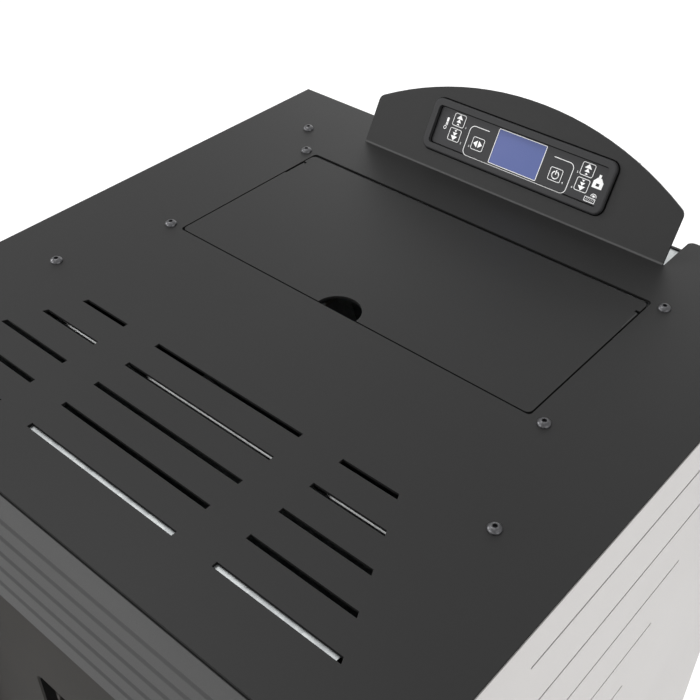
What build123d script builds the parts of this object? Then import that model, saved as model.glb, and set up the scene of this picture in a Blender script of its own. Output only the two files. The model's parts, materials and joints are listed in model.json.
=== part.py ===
"""A free-standing pellet stove, modelled piece by piece.

Millimetres, +Z up, +X to the right seen from the front, +Y to the rear. The origin
lies on the floor, under the middle of the whole stove.
"""

import os
from math import cos, radians, sin, sqrt, tan

from build123d import *

os.makedirs("parts", exist_ok=True)

# ---------------------------------------------------------------- driving dimensions
# Overall sizes
width = 500.0
depth = 494.0
plate_top_height = 1000.0
flue_reach = 55.0  # spigot's end behind the rear of the stove
handle_reach = 11.0  # handle's face in front of the front of the stove

# Sheet metal
plate_sheet = 2.0
skin_sheet = 1.2
frame_sheet = 1.5
firebox_sheet = 3.0
running_gap = 0.3

# Top plate
slot_rows = 5
slot_pitch = 25.5
slot_width = 4.0
slot_middle = 66.0  # half the length of a middle slot
slot_inner = 98.1  # where an outer slot begins
slot_outer = 141.8  # where the rear outer slot ends
slot_slant = 0.466  # how much further out an outer slot ends, per mm forwards
first_slot_back = 347.8  # rear row, from the plate's rear edge
lid_half_width = 159.2
lid_front_back = 240.6  # lid's front edge, from the plate's rear edge
lid_rear_back = 90.7
lid_gap = 1.2
lid_rear_gap = 3.3
lid_corner = 4.0
lid_opening_corner = 3.0
notch_radius = 17.4
carrier_half_width = 143.5
carrier_back = 41.5  # fold line, from the plate's rear edge
carrier_height = 79.0  # along its slope
carrier_side_height = 40.6
carrier_corner = 6.5
carrier_tilt = 61.05
bend_radius = 2.5
screw_places = [(196.9, 331.4), (171.0, 242.2), (170.2, 88.6), (196.2, 58.0)]
screw_hole = 5.5
screw_shank = 5.0
screw_head = 9.5
screw_head_height = 2.75

# Control panel on the carrier, u to the right and t up the slope
bezel_u = (-86.6, 84.5)
bezel_t = (14.7, 57.3)
bezel_rim = 5.5
bezel_height = 4.0
bezel_skirt = 1.3  # wall of the part that reaches into the carrier
film_sheet = 1.8
film_top = 0.3  # above the carrier's face
key_top = 0.6
window_top = 0.1
window_foot = 2.6  # below the carrier's face, as are the next two
key_foot = 2.2
board_drop = 3.0
bezel_corner = 7.0
display_u = (-22.5, 22.2)
display_t = (22.1, 50.0)
key_size = (11.6, 10.6)
key_travel = 0.5
key_gap = 0.3
key_places = {
    "key_heat_up": (-60.8, 44.6),
    "key_heat_down": (-60.8, 32.4),
    "key_mode": (-37.0, 32.2),
    "key_power": (37.1, 32.2),
    "key_fan_up": (61.0, 44.6),
    "key_fan_down": (61.0, 32.4),
}

# Sides, front and rear
side_slit_rows = 5
side_slit_pitch = 50.5
side_slit_width = 2.5
side_slit_length = 238.5
first_slit_drop = 40.0
slit_rear_backs = (129.0, 143.5, 161.5, 182.7, 207.5)
fascia_height = 132.0
fascia_thickness = 8.0
fascia_gap = 3.0  # the shadow line under the plate's front edge
first_groove_drop = 30.0
groove_count = 5
groove_pitch = 20.6
groove_width = 6.0
groove_depth = 1.4
groove_edge = 2.0  # rounding of a groove's edges
plate_shadow_gap = 2.0  # under the plate's side edges
front_lip = 10.0
lower_panel = (56.0, 222.0)
drawer_front = (228.0, 345.0)
skin_overlap = 12.0  # a side panel's return behind the rear panel's edge
frame_gap = 5.0  # between the front frame and each side panel's outside

# Door
door_recess = 22.0
door_side_gap = 15.0  # beside the door, to the stove's outside
door_bottom = 352.0
door_top_gap = 6.0
door_thickness = 10.0
window_half_width = 119.0
window_span = (408.0, 708.0)
window_corner = 8.0
glass_thickness = 4.0
glass_overlap = 8.0
glass_seal_thickness = 2.0
gasket_size = 12.0
gasket_groove = 2.0
gasket_half_width = 146.0
gasket_bottom = 372.0
gasket_top_drop = 11.0  # below the firebox's top
hinge_inset = 7.0
hinge_pin_radius = 3.0
shaft_clearance = 0.05
latch_inset = 35.0
latch_z = 600.0
spindle_radius = 6.0
lever_length = 160.0

# Firebox
firebox_half_width = 150.0
firebox_bottom = 350.0
firebox_top_drop = 235.0  # below the top plate
firebox_rear_inset = 262.0  # in front of the stove's rear
firebox_mouth_half_width = 130.0
firebox_mouth_bottom = 388.0
firebox_mouth_drop = 27.0  # below the firebox's top
flange_width = 15.0

# Burner pot
liner_sheet = 6.0
pot_width = 110.0
pot_depth = 80.0
pot_span = (415.0, 492.0)
pot_wall = 5.0
pot_rim_height = 440.0
pot_lip = (8.0, 3.0)  # how far the rim stands out at the sides and at front and rear
pot_rear_gap = 1.0  # between the rim and the rear liner

# Hopper and auger
hopper_half_width = 175.0
hopper_depth = 202.0
hopper_rear_inset = 48.0
hopper_top_drop = 8.0  # below the top plate
hopper_straight = 112.0  # height of its upright walls
hopper_taper = 180.0  # height of its sloping walls
throat_half_width = 28.0
throat_depth = 60.0
throat_rear_inset = 115.0
auger_drop = 150.0  # from the throat down to the auger's lower end
auger_reach = 7.0  # from the throat back to the auger's lower end
auger_tube_length = 150.0
auger_bore = 30.0
auger_wall = 2.0
auger_gap = 3.0  # between the flight and the bore
auger_radius = auger_bore - auger_gap
auger_shaft = 7.0
auger_pitch = 32.0
drop_station = 118.0
drop_radius = 26.0

# Warm-air duct
duct_front_inset = 19.8  # behind the front row of slots
duct_rear_inset = 17.2  # in front of the rear row
duct_front_flange = 24.0
duct_rear_flange = 15.0
duct_drop = 12.0  # from the plate's top down to the rear flange
duct_front_gap = 0.5  # between the plate and the front flange
duct_sheet = 1.0

# Feet and base
foot_radius = 22.0
foot_height = 10.0
foot_stem = 5.0
foot_travel = 12.0
base_height = 30.0
base_rim = 25.0
foot_side_inset = 35.0
foot_front_inset = 44.0
foot_rear_inset = 35.0

# ---------------------------------------------------------------- worked-out places
rear_y = (depth + handle_reach - flue_reach) / 2
front_y = rear_y - depth
half_width = width / 2
plate_underside = plate_top_height - plate_sheet
skin_top = plate_underside - plate_shadow_gap
door_face = front_y + door_recess
door_back = door_face + door_thickness
firebox_face = door_back + gasket_size - gasket_groove
firebox_back = rear_y - firebox_rear_inset
firebox_depth = firebox_back - firebox_face
firebox_top = plate_top_height - firebox_top_drop
firebox_span = (firebox_bottom, firebox_top)
firebox_mouth = (firebox_mouth_bottom, firebox_top - firebox_mouth_drop)
gasket_span = (gasket_bottom, firebox_top - gasket_top_drop)
fascia_top = plate_underside - fascia_gap
fascia_bottom = fascia_top - fascia_height
fascia_half_width = half_width - front_lip - 1
fascia_rear = front_y + fascia_thickness
door_span = (door_bottom, fascia_bottom - door_top_gap)
door_half_width = half_width - door_side_gap
hinge_x = hinge_inset - door_half_width
latch_x = door_half_width - latch_inset
inner_back = firebox_back - firebox_sheet
pot_y = inner_back - liner_sheet - pot_rear_gap - pot_lip[1] - pot_depth / 2
hopper_top = plate_top_height - hopper_top_drop
hopper_taper_top = hopper_top - hopper_straight
throat_height = hopper_taper_top - hopper_taper
hopper_y = (rear_y - hopper_rear_inset - hopper_depth, rear_y - hopper_rear_inset)
throat_y = (rear_y - throat_rear_inset - throat_depth, rear_y - throat_rear_inset)
auger_foot = (throat_y[1] + auger_reach, throat_height - auger_drop)
foot_x = half_width - foot_side_inset
foot_y = (front_y + foot_front_inset, rear_y - foot_rear_inset)
skin_inner = half_width - skin_sheet
carrier_foot = rear_y - carrier_back
carrier_plane = Plane(
    origin=(0, carrier_foot, plate_top_height),
    x_dir=(1, 0, 0),
    z_dir=(0, -sin(radians(carrier_tilt)), cos(radians(carrier_tilt))),
)
carrier_axis = Axis(carrier_plane.origin, carrier_plane.z_dir)
front_slot_back = first_slot_back + (slot_rows - 1) * slot_pitch
duct_y = (rear_y - front_slot_back + duct_front_inset, rear_y - first_slot_back - duct_rear_inset)
duct_half_width = 186.0
front_frame_y = firebox_face + 12.0


def level(z):
    """A plane to draw on from above, which extrudes upwards."""
    return Plane.XY.offset(z)


def upright(y):
    """A plane to draw on from the front, which extrudes forwards."""
    return Plane.XZ.offset(-y)


def sideways(x):
    """A plane to draw on from the right, rear to the right, which extrudes to +X."""
    return Plane.YZ.offset(x)


def area(low, high, corner=0.0, mode=Mode.ADD):
    """A rectangle between two corners of a sketch."""
    size = (high[0] - low[0], high[1] - low[1])
    with Locations(((low[0] + high[0]) / 2, (low[1] + high[1]) / 2)):
        if corner > 0:
            RectangleRounded(*size, corner, mode=mode)
        else:
            Rectangle(*size, mode=mode)


def slab(low, high, mode=Mode.ADD):
    """A plain block of the current part, between two corners."""
    with Locations(tuple((a + b) / 2 for a, b in zip(low, high))):
        Box(*(b - a for a, b in zip(low, high)), mode=mode)


# ---------------------------------------------------------------- base and feet
with BuildPart() as base_frame:
    with BuildSketch(level(base_height)):
        area((-skin_inner, front_y + 7), (skin_inner, rear_y - 2.4))
    extrude(amount=base_rim)
    offset(
        amount=-2.0,
        openings=base_frame.faces().sort_by(Axis.Z)[-1],
    )
    foot_places = [(x, y) for x in (-foot_x, foot_x) for y in foot_y]
    with BuildSketch(level(base_height)):
        with Locations(*foot_places):
            RegularPolygon(11, 6)
    extrude(amount=14)
    with Locations(*[(x, y, base_height) for x, y in foot_places]):
        Cylinder(
            foot_stem + 2 * shaft_clearance,
            40,
            mode=Mode.SUBTRACT,
        )
base_frame.part.label = "base_frame"
export_step(base_frame.part, "parts/base_frame.step")

for foot_name, (x, y) in zip(
    ("foot_front_left", "foot_rear_left", "foot_front_right", "foot_rear_right"),
    foot_places,
):
    with BuildPart() as foot:
        with BuildSketch(Plane.XZ.offset(-y)):
            with BuildLine():
                Polyline(
                    (x, 0),
                    (x + foot_radius - 1, 0),
                    (x + foot_radius, 1),
                    (x + foot_radius, 5),
                    (x + 12, foot_height),
                    (x + foot_stem, foot_height),
                    (x + foot_stem, 52),
                    (x, 52),
                    close=True,
                )
            make_face()
        revolve(axis=Axis((x, y, 0), (0, 0, 1)))
        with BuildSketch(level(foot_height)):
            with Locations((x, y)):
                RegularPolygon(9.8, 6)
        extrude(amount=6)
    foot.part.label = foot_name
    export_step(foot.part, f"parts/{foot_name}.step")

# ---------------------------------------------------------------- side panels
for side, side_name in ((-1, "side_panel_left"), (1, "side_panel_right")):
    inner, outer = sorted((side * skin_inner, side * half_width))
    with BuildPart() as side_panel:
        with BuildSketch(level(base_height + 4)):
            with BuildLine():
                front_edge = front_y + 1
                rear_edge = rear_y - skin_sheet
                Polyline(
                    (side * (half_width - front_lip), front_edge),
                    (side * half_width, front_edge),
                    (side * half_width, rear_edge),
                    (side * (half_width - skin_overlap), rear_edge),
                    (side * (half_width - skin_overlap), rear_edge - skin_sheet),
                    (side * skin_inner, rear_edge - skin_sheet),
                    (side * skin_inner, front_edge + skin_sheet),
                    (side * (half_width - front_lip), front_edge + skin_sheet),
                    close=True,
                )
            make_face()
        extrude(amount=skin_top - base_height - 4)
        with BuildSketch(level(skin_top - skin_sheet)):
            area(
                (min(side * (half_width - skin_overlap), side * skin_inner), front_edge + 20),
                (max(side * (half_width - skin_overlap), side * skin_inner), rear_edge - 20),
            )
        extrude(amount=skin_sheet)
        fillet(
            side_panel.edges()
            .filter_by(Axis.Z)
            .group_by(SortBy.LENGTH)[-1]
            .filter_by(lambda edge: abs(abs(edge.center().X) - half_width) < 0.01),
            1.0,
        )
        with BuildSketch(sideways(inner - 1)):
            for row in range(side_slit_rows):
                slit_rear = rear_y - slit_rear_backs[row]
                slit_z = plate_top_height - first_slit_drop - row * side_slit_pitch
                with Locations((slit_rear - side_slit_length / 2, slit_z)):
                    Rectangle(side_slit_length, side_slit_width)
        extrude(amount=skin_sheet + 2, mode=Mode.SUBTRACT)
    side_panel.part.label = side_name
    export_step(side_panel.part, f"parts/{side_name}.step")

# ---------------------------------------------------------------- rear panel
flue_x = 157.0
flue_z = 162.0
flue_radius = 40.0
intake_x = -50.0
intake_z = 397.0
intake_radius = 25.0
inlet_x = 70.0 - half_width
inlet_z = 120.0
with BuildPart() as back_panel:
    with BuildSketch(upright(rear_y)):
        area((1 - half_width, base_height + 6), (half_width - 1, plate_top_height - 11))
        with Locations((flue_x, flue_z)):
            Circle(flue_radius + 1, mode=Mode.SUBTRACT)
        with Locations((intake_x, intake_z)):
            Circle(intake_radius + 0.5, mode=Mode.SUBTRACT)
        with Locations((inlet_x, inlet_z)):
            Rectangle(60, 28, mode=Mode.SUBTRACT)
        with Locations((0, plate_top_height - 220)):
            with GridLocations(60, 14, 5, 6):
                SlotOverall(50, 4, mode=Mode.SUBTRACT)
        with Locations((-20, 120)):
            with GridLocations(60, 14, 2, 6):
                SlotOverall(50, 4, mode=Mode.SUBTRACT)
    extrude(amount=skin_sheet)
back_panel.part.label = "back_panel"
export_step(back_panel.part, "parts/back_panel.step")

# ---------------------------------------------------------------- top plate
slot_backs = [first_slot_back + row * slot_pitch for row in range(slot_rows)]


def slot_end(back):
    """Where an outer slot ends, this far in front of the plate's rear edge."""
    return slot_outer + slot_slant * (back - first_slot_back)


tilt = radians(carrier_tilt)
mitre = plate_sheet * tan(tilt / 2)
with BuildPart() as top_plate:
    with BuildSketch(level(plate_underside)):
        area((-half_width, front_y), (half_width, rear_y))
        area(
            (-carrier_half_width - 1, carrier_foot + 0.6),
            (carrier_half_width + 1, rear_y + 1),
            mode=Mode.SUBTRACT,
        )
        area(
            (-lid_half_width - lid_gap, rear_y - lid_front_back - lid_gap),
            (lid_half_width + lid_gap, rear_y - lid_rear_back + lid_rear_gap),
            corner=lid_opening_corner,
            mode=Mode.SUBTRACT,
        )
        for back in slot_backs:
            front_line, back_line = back + slot_width / 2, back - slot_width / 2
            with Locations((0, rear_y - back)):
                Rectangle(2 * slot_middle, slot_width, mode=Mode.SUBTRACT)
            for side in (-1, 1):
                corners = [
                    (slot_inner, back_line),
                    (slot_end(back_line), back_line),
                    (slot_end(front_line), front_line),
                    (slot_inner, front_line),
                ]
                with BuildLine():
                    Polyline(*[(side * u, rear_y - v) for u, v in corners], close=True)
                make_face(mode=Mode.SUBTRACT)
        with Locations(*[(s * u, rear_y - v) for u, v in screw_places for s in (-1, 1)]):
            Circle(screw_hole / 2, mode=Mode.SUBTRACT)
    extrude(amount=plate_sheet)
    notch_corners = top_plate.edges().filter_by(Axis.Z).filter_by(
        lambda edge: abs(abs(edge.center().X) - carrier_half_width - 1) < 0.1
        and edge.center().Y > rear_y - 1
    )
    fillet(notch_corners, 5)
    # The carrier is folded up from the plate, so its section is drawn as one line.
    with BuildSketch(Plane.YZ) as fold:
        with BuildLine():
            top_y = carrier_foot + (carrier_height + 1) * cos(tilt)
            top_z = plate_top_height + (carrier_height + 1) * sin(tilt)
            back_y = plate_sheet * sin(tilt)
            back_z = plate_sheet * cos(tilt)
            Polyline(
                (carrier_foot - 8, plate_top_height),
                (carrier_foot, plate_top_height),
                (top_y, top_z),
                (top_y + back_y, top_z - back_z),
                (carrier_foot + mitre, plate_underside),
                (carrier_foot - 8, plate_underside),
                close=True,
            )
        make_face()
        for corner, radius in (
            ((carrier_foot, plate_top_height), bend_radius),
            ((carrier_foot + mitre, plate_underside), bend_radius + plate_sheet),
        ):
            fillet(fold.vertices().sort_by_distance((*corner, 0))[0], radius)
    extrude(amount=carrier_half_width, both=True)
    # What lies outside the carrier's rounded outline is cut away.
    with BuildSketch(carrier_plane.offset(1)) as outside:
        area((-width / 2, 8), (width / 2, carrier_height + 20))
        with BuildLine():
            side_foot = Line((-carrier_half_width, 0), (carrier_half_width, 0))
            Line((carrier_half_width, 0), (carrier_half_width, carrier_side_height))
            ThreePointArc(
                (carrier_half_width, carrier_side_height),
                (0, carrier_height),
                (-carrier_half_width, carrier_side_height),
            )
            Line((-carrier_half_width, carrier_side_height), (-carrier_half_width, 0))
        make_face(mode=Mode.SUBTRACT)
        for side in (-1, 1):
            corner = (side * carrier_half_width, carrier_side_height, 0)
            fillet(outside.vertices().sort_by_distance(corner)[0], carrier_corner)
    extrude(amount=-plate_sheet - 3, mode=Mode.SUBTRACT)
    with BuildSketch(carrier_plane.offset(1)):
        area(
            (bezel_u[0] + 4, bezel_t[0] + 4),
            (bezel_u[1] - 4, bezel_t[1] - 4),
            corner=3,
        )
    extrude(amount=-plate_sheet - 2, mode=Mode.SUBTRACT)
top_plate.part.label = "top_plate"
export_step(top_plate.part, "parts/top_plate.step")

with BuildPart() as top_screws:
    for u, v in screw_places:
        for side in (-1, 1):
            x, y = side * u, rear_y - v
            with BuildSketch(Plane.XZ.offset(-y)):
                with BuildLine():
                    Line((x, plate_top_height - 12), (x + screw_shank / 2, plate_top_height - 12))
                    Line(
                        (x + screw_shank / 2, plate_top_height - 12),
                        (x + screw_shank / 2, plate_top_height),
                    )
                    Line(
                        (x + screw_shank / 2, plate_top_height),
                        (x + screw_head / 2, plate_top_height),
                    )
                    Spline(
                        (x + screw_head / 2, plate_top_height),
                        (x + screw_head / 2 - 1.2, plate_top_height + 2.0),
                        (x + 2.0, plate_top_height + screw_head_height),
                        tangents=((0, 1), (-1, 0)),
                    )
                    Line(
                        (x + 2.0, plate_top_height + screw_head_height),
                        (x, plate_top_height + screw_head_height),
                    )
                    Line(
                        (x, plate_top_height + screw_head_height),
                        (x, plate_top_height - 12),
                    )
                make_face()
            revolve(axis=Axis((x, y, 0), (0, 0, 1)))
            with BuildSketch(level(plate_top_height + screw_head_height)):
                with Locations((x, y)):
                    RegularPolygon(1.73, 6)
            extrude(amount=-2.0, mode=Mode.SUBTRACT)
top_screws.part.label = "top_screws"
export_step(top_screws.part, "parts/top_screws.step")

# ---------------------------------------------------------------- hopper lid and hinges
lid_axis_y = rear_y - 116.0
lid_axis_drop = 7.0
lid_axis_z = plate_underside - lid_axis_drop
ear_radius = 10.5
ear_bend = 1.8  # outer radius where an ear is folded down
lid_pin = 2.5
with BuildPart() as hopper_lid:
    with BuildSketch(level(plate_underside)):
        area(
            (-lid_half_width, rear_y - lid_front_back),
            (lid_half_width, rear_y - lid_rear_back),
            corner=lid_corner,
        )
        with Locations((0, rear_y - lid_front_back)):
            Circle(notch_radius, mode=Mode.SUBTRACT)
        with Locations(
            *[(side * lid_half_width, lid_axis_y + ear_radius + 1.25) for side in (-1, 1)]
        ):
            Rectangle(6, 2.5, mode=Mode.SUBTRACT)
    extrude(amount=plate_sheet)
    for side in (-1, 1):
        ear_inner = min(side * lid_half_width, side * (lid_half_width - plate_sheet))
        with BuildSketch(sideways(ear_inner)):
            with BuildLine():
                Polyline(
                    (lid_axis_y - ear_radius, lid_axis_z),
                    (lid_axis_y - ear_radius, plate_underside),
                    (lid_axis_y + ear_radius, plate_underside),
                    (lid_axis_y + ear_radius, lid_axis_z),
                )
                ThreePointArc(
                    (lid_axis_y + ear_radius, lid_axis_z),
                    (lid_axis_y, lid_axis_z - ear_radius),
                    (lid_axis_y - ear_radius, lid_axis_z),
                )
            make_face()
            with Locations((lid_axis_y, lid_axis_z)):
                Circle(lid_pin + shaft_clearance, mode=Mode.SUBTRACT)
        extrude(amount=plate_sheet)
        # The fold rounds off the lid's top edge along each ear.
        lid_edge = side * lid_half_width
        bend_inner = side * (lid_half_width - ear_bend)
        bend_middle = side * (lid_half_width - ear_bend * (1 - sin(radians(45))))
        lid_top = plate_underside + plate_sheet
        with BuildSketch(Plane.XZ.offset(-lid_axis_y - ear_radius)):
            with BuildLine():
                Polyline((bend_inner, lid_top), (lid_edge, lid_top), (lid_edge, lid_top - ear_bend))
                ThreePointArc(
                    (lid_edge, lid_top - ear_bend),
                    (bend_middle, lid_top - ear_bend * (1 - sin(radians(45)))),
                    (bend_inner, lid_top),
                )
            make_face()
        extrude(amount=2 * ear_radius, mode=Mode.SUBTRACT)
hopper_lid.part.label = "hopper_lid"
export_step(hopper_lid.part, "parts/hopper_lid.step")

with BuildPart() as lid_hinge_brackets:
    for side in (-1, 1):
        tab_near = side * (lid_half_width + lid_gap + 1.1)
        tab_far = side * (lid_half_width + lid_gap + 3.1)
        with BuildSketch(sideways(min(tab_near, tab_far))):
            area((lid_axis_y - 7, lid_axis_z), (lid_axis_y + 7, plate_underside))
            with Locations((lid_axis_y, lid_axis_z)):
                Circle(7)
        extrude(amount=2)
        with BuildSketch(level(plate_underside - 2)):
            area(
                (min(tab_near, side * (lid_half_width + 19)), lid_axis_y - 7),
                (max(tab_near, side * (lid_half_width + 19)), lid_axis_y + 7),
            )
        extrude(amount=2)
        pin_ends = sorted((side * (lid_half_width - 6), tab_far))
        with BuildSketch(sideways(pin_ends[0])):
            with Locations((lid_axis_y, lid_axis_z)):
                Circle(lid_pin)
        extrude(amount=pin_ends[1] - pin_ends[0])
lid_hinge_brackets.part.label = "lid_hinge_brackets"
export_step(lid_hinge_brackets.part, "parts/lid_hinge_brackets.step")

# ---------------------------------------------------------------- control panel
panel_middle = ((bezel_u[0] + bezel_u[1]) / 2, (bezel_t[0] + bezel_t[1]) / 2)
with BuildPart() as control_bezel:
    with BuildSketch(carrier_plane):
        area(
            (bezel_u[0], bezel_t[0]),
            (bezel_u[1], bezel_t[1]),
            corner=bezel_corner,
        )
    extrude(amount=bezel_height)
    fillet(control_bezel.faces().sort_by(carrier_axis)[-1].edges(), 1.6)
    with BuildSketch(carrier_plane):
        area(
            (bezel_u[0] + bezel_rim - bezel_skirt, bezel_t[0] + bezel_rim - bezel_skirt),
            (bezel_u[1] - bezel_rim + bezel_skirt, bezel_t[1] - bezel_rim + bezel_skirt),
            corner=bezel_corner - bezel_rim + 1.5,
        )
    extrude(amount=-board_drop)
    with BuildSketch(carrier_plane.offset(bezel_height + 1)):
        area(
            (bezel_u[0] + bezel_rim, bezel_t[0] + bezel_rim),
            (bezel_u[1] - bezel_rim, bezel_t[1] - bezel_rim),
            corner=bezel_corner - bezel_rim + 1.5,
        )
    extrude(amount=-bezel_height - board_drop - 2, mode=Mode.SUBTRACT)
control_bezel.part.label = "control_bezel"
export_step(control_bezel.part, "parts/control_bezel.step")

# The key panel lies inside the bezel's rim, in the opening of the carrier.
with BuildPart() as key_panel:
    with BuildSketch(carrier_plane.offset(film_top - film_sheet)):
        area(
            (bezel_u[0] + bezel_rim, bezel_t[0] + bezel_rim),
            (bezel_u[1] - bezel_rim, bezel_t[1] - bezel_rim),
            corner=bezel_corner - bezel_rim + 1.5,
        )
        for u, t in key_places.values():
            with Locations((u, t)):
                RectangleRounded(
                    key_size[0] + 2 * key_gap,
                    key_size[1] + 2 * key_gap,
                    1.8,
                    mode=Mode.SUBTRACT,
                )
        area(
            (display_u[0], display_t[0]),
            (display_u[1], display_t[1]),
            mode=Mode.SUBTRACT,
        )
    extrude(amount=film_sheet)
key_panel.part.label = "key_panel"
export_step(key_panel.part, "parts/key_panel.step")

with BuildPart() as display_window:
    with BuildSketch(carrier_plane.offset(-window_foot)):
        area(
            (display_u[0] + 0.2, display_t[0] + 0.2),
            (display_u[1] - 0.2, display_t[1] - 0.2),
        )
    extrude(amount=window_foot + window_top)
display_window.part.label = "display_window"
export_step(display_window.part, "parts/display_window.step")

for key_name, (u, t) in key_places.items():
    with BuildPart() as key:
        with BuildSketch(carrier_plane.offset(-key_foot)):
            with Locations((u, t)):
                RectangleRounded(*key_size, 1.5)
        extrude(amount=key_foot + key_top)
    key.part.label = key_name
    export_step(key.part, f"parts/{key_name}.step")

# The steel box behind the carrier holds the display's circuit board.
housing_depth = 26.0
with BuildPart() as control_housing:
    with BuildSketch(carrier_plane.offset(-plate_sheet)):
        area((bezel_u[0] - 4, 8.0), (bezel_u[1] + 4, 62.0), corner=2)
    extrude(amount=-housing_depth)
    offset(
        amount=-skin_sheet,
        openings=control_housing.faces().sort_by(carrier_axis)[-1],
    )
control_housing.part.label = "control_housing"
export_step(control_housing.part, "parts/control_housing.step")

with BuildPart() as display_board:
    with BuildSketch(carrier_plane.offset(-board_drop - 1.6)):
        area(
            (bezel_u[0] + 5, bezel_t[0] + 3),
            (bezel_u[1] - 5, bezel_t[1] - 3),
        )
    extrude(amount=1.6)
    with BuildSketch(carrier_plane.offset(-board_drop)):
        for u, t in key_places.values():
            with Locations((u, t)):
                Rectangle(6, 6)
    extrude(amount=board_drop - key_foot - key_travel - 0.1)
    with BuildSketch(carrier_plane.offset(-board_drop)):
        area((display_u[0] + 1, display_t[0] + 1), (display_u[1] - 1, display_t[1] - 1))
    extrude(amount=board_drop - window_foot)
display_board.part.label = "display_board"
export_step(display_board.part, "parts/display_board.step")

# ---------------------------------------------------------------- inner frame
rail_inner = hopper_half_width + 16
rail_outer = half_width - 4
rail_depth = 40.0
rear_rail_y = carrier_foot + 0.5
rear_rail_top = plate_top_height - 11.0
with BuildPart() as top_rails:
    for side in (-1, 1):
        with BuildSketch(upright(rear_rail_y)):
            with BuildLine():
                Polyline(
                    (side * rail_inner, plate_underside),
                    (side * rail_outer, plate_underside),
                    (side * rail_outer, plate_underside - frame_sheet),
                    (side * (rail_inner + frame_sheet), plate_underside - frame_sheet),
                    (side * (rail_inner + frame_sheet), plate_underside - rail_depth),
                    (side * rail_inner, plate_underside - rail_depth),
                    close=True,
                )
            make_face()
        extrude(amount=rear_rail_y - front_y - 12)
    with Locations(
        *[
            (side * u, rear_y - v, plate_underside)
            for u, v in (screw_places[0], screw_places[3])
            for side in (-1, 1)
        ]
    ):
        Cylinder(screw_hole / 2, 10, mode=Mode.SUBTRACT)
    with BuildSketch(sideways(-half_width + 13)):
        with BuildLine():
            rail_back = rear_y - skin_sheet
            Polyline(
                (rear_rail_y, rear_rail_top),
                (rail_back, rear_rail_top),
                (rail_back, rear_rail_top - rail_depth),
                (rail_back - frame_sheet, rear_rail_top - rail_depth),
                (rail_back - frame_sheet, rear_rail_top - frame_sheet),
                (rear_rail_y + frame_sheet, rear_rail_top - frame_sheet),
                (rear_rail_y + frame_sheet, rear_rail_top - rail_depth),
                (rear_rail_y, rear_rail_top - rail_depth),
                close=True,
            )
        make_face()
    extrude(amount=width - 26)
top_rails.part.label = "top_rails"
export_step(top_rails.part, "parts/top_rails.step")

drawer_half = 140.0
drawer_floor = 244.0
drawer_wall_top = 330.0
drum_y = front_frame_y + 65.0
drum_z = 118.0
drum_radius = 34.0
drum_half = 118.0
bracket_x = half_width - 50
with BuildPart() as front_frame:
    with BuildSketch(upright(front_frame_y + frame_sheet)):
        area(
            (frame_gap - half_width, base_height + 2),
            (half_width - frame_gap, plate_underside - rail_depth),
        )
        area(
            (-firebox_half_width - 0.5, firebox_span[0] - 0.5),
            (firebox_half_width + 0.5, firebox_span[1] + 0.5),
            mode=Mode.SUBTRACT,
        )
        area(
            (-drawer_half - 6, drawer_floor - 6),
            (drawer_half + 6, drawer_wall_top + 4),
            corner=4,
            mode=Mode.SUBTRACT,
        )
        area(
            (-drum_half - 6, drum_z - drum_radius - 8),
            (drum_half + 6, drum_z + drum_radius + 6),
            corner=4,
            mode=Mode.SUBTRACT,
        )
    extrude(amount=frame_sheet)
    for side in (-1, 1):
        return_outer = half_width - frame_gap
        return_x = sorted((side * return_outer, side * (return_outer - frame_sheet)))
        slab(
            (return_x[0], front_frame_y + frame_sheet, base_height + 2),
            (return_x[1], front_frame_y + 25, plate_underside - rail_depth - 60),
        )
        # A welded bracket holds the fascia in front of the frame.
        with BuildSketch(level(fascia_bottom + 38)):
            with BuildLine():
                Polyline(
                    (side * bracket_x, fascia_rear),
                    (side * (bracket_x + 30), fascia_rear),
                    (side * (bracket_x + 30), fascia_rear + 2),
                    (side * (bracket_x + 2), fascia_rear + 2),
                    (side * (bracket_x + 2), front_frame_y - 2),
                    (side * (bracket_x + 30), front_frame_y - 2),
                    (side * (bracket_x + 30), front_frame_y),
                    (side * bracket_x, front_frame_y),
                    close=True,
                )
            make_face()
        extrude(amount=50)
front_frame.part.label = "front_frame"
export_step(front_frame.part, "parts/front_frame.step")

# ---------------------------------------------------------------- front fascia
# Its grooves are shallow hollows with soft edges.
groove_radius = (groove_width**2 / 4 + groove_depth**2) / (2 * groove_depth)
with BuildPart() as front_fascia:
    with BuildSketch(sideways(-fascia_half_width)) as fascia_outline:
        area((front_y, fascia_bottom), (front_y + fascia_thickness, fascia_top))
        for row in range(groove_count):
            groove_z = fascia_top - first_groove_drop - row * groove_pitch
            with Locations((front_y + groove_depth - groove_radius, groove_z)):
                Circle(groove_radius, mode=Mode.SUBTRACT)
        groove_ends = fascia_outline.vertices().filter_by(
            lambda corner: abs(corner.X - front_y) < 0.01
            and fascia_bottom + 1 < corner.Y < fascia_top - 1
        )
        fillet(groove_ends, groove_edge)
    extrude(amount=2 * fascia_half_width)
front_fascia.part.label = "front_fascia"
export_step(front_fascia.part, "parts/front_fascia.step")

# ---------------------------------------------------------------- lower front panel
with BuildPart() as lower_front_panel:
    with BuildSketch(upright(front_frame_y)):
        area((-door_half_width, lower_panel[0]), (door_half_width, lower_panel[1]))
    extrude(amount=front_frame_y - door_face)
    offset(
        amount=-skin_sheet,
        openings=lower_front_panel.faces().sort_by(Axis.Y)[-1],
    )
    with BuildSketch(upright(door_face + skin_sheet + 1)):
        with Locations((0, (lower_panel[0] + lower_panel[1]) / 2)):
            with GridLocations(0, 18, 1, 5):
                Rectangle(2 * slot_middle, 3, mode=Mode.ADD)
            with GridLocations(200, 18, 2, 5):
                Rectangle(56, 3, mode=Mode.ADD)
    extrude(amount=skin_sheet + 2, mode=Mode.SUBTRACT)
lower_front_panel.part.label = "lower_front_panel"
export_step(lower_front_panel.part, "parts/lower_front_panel.step")

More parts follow.
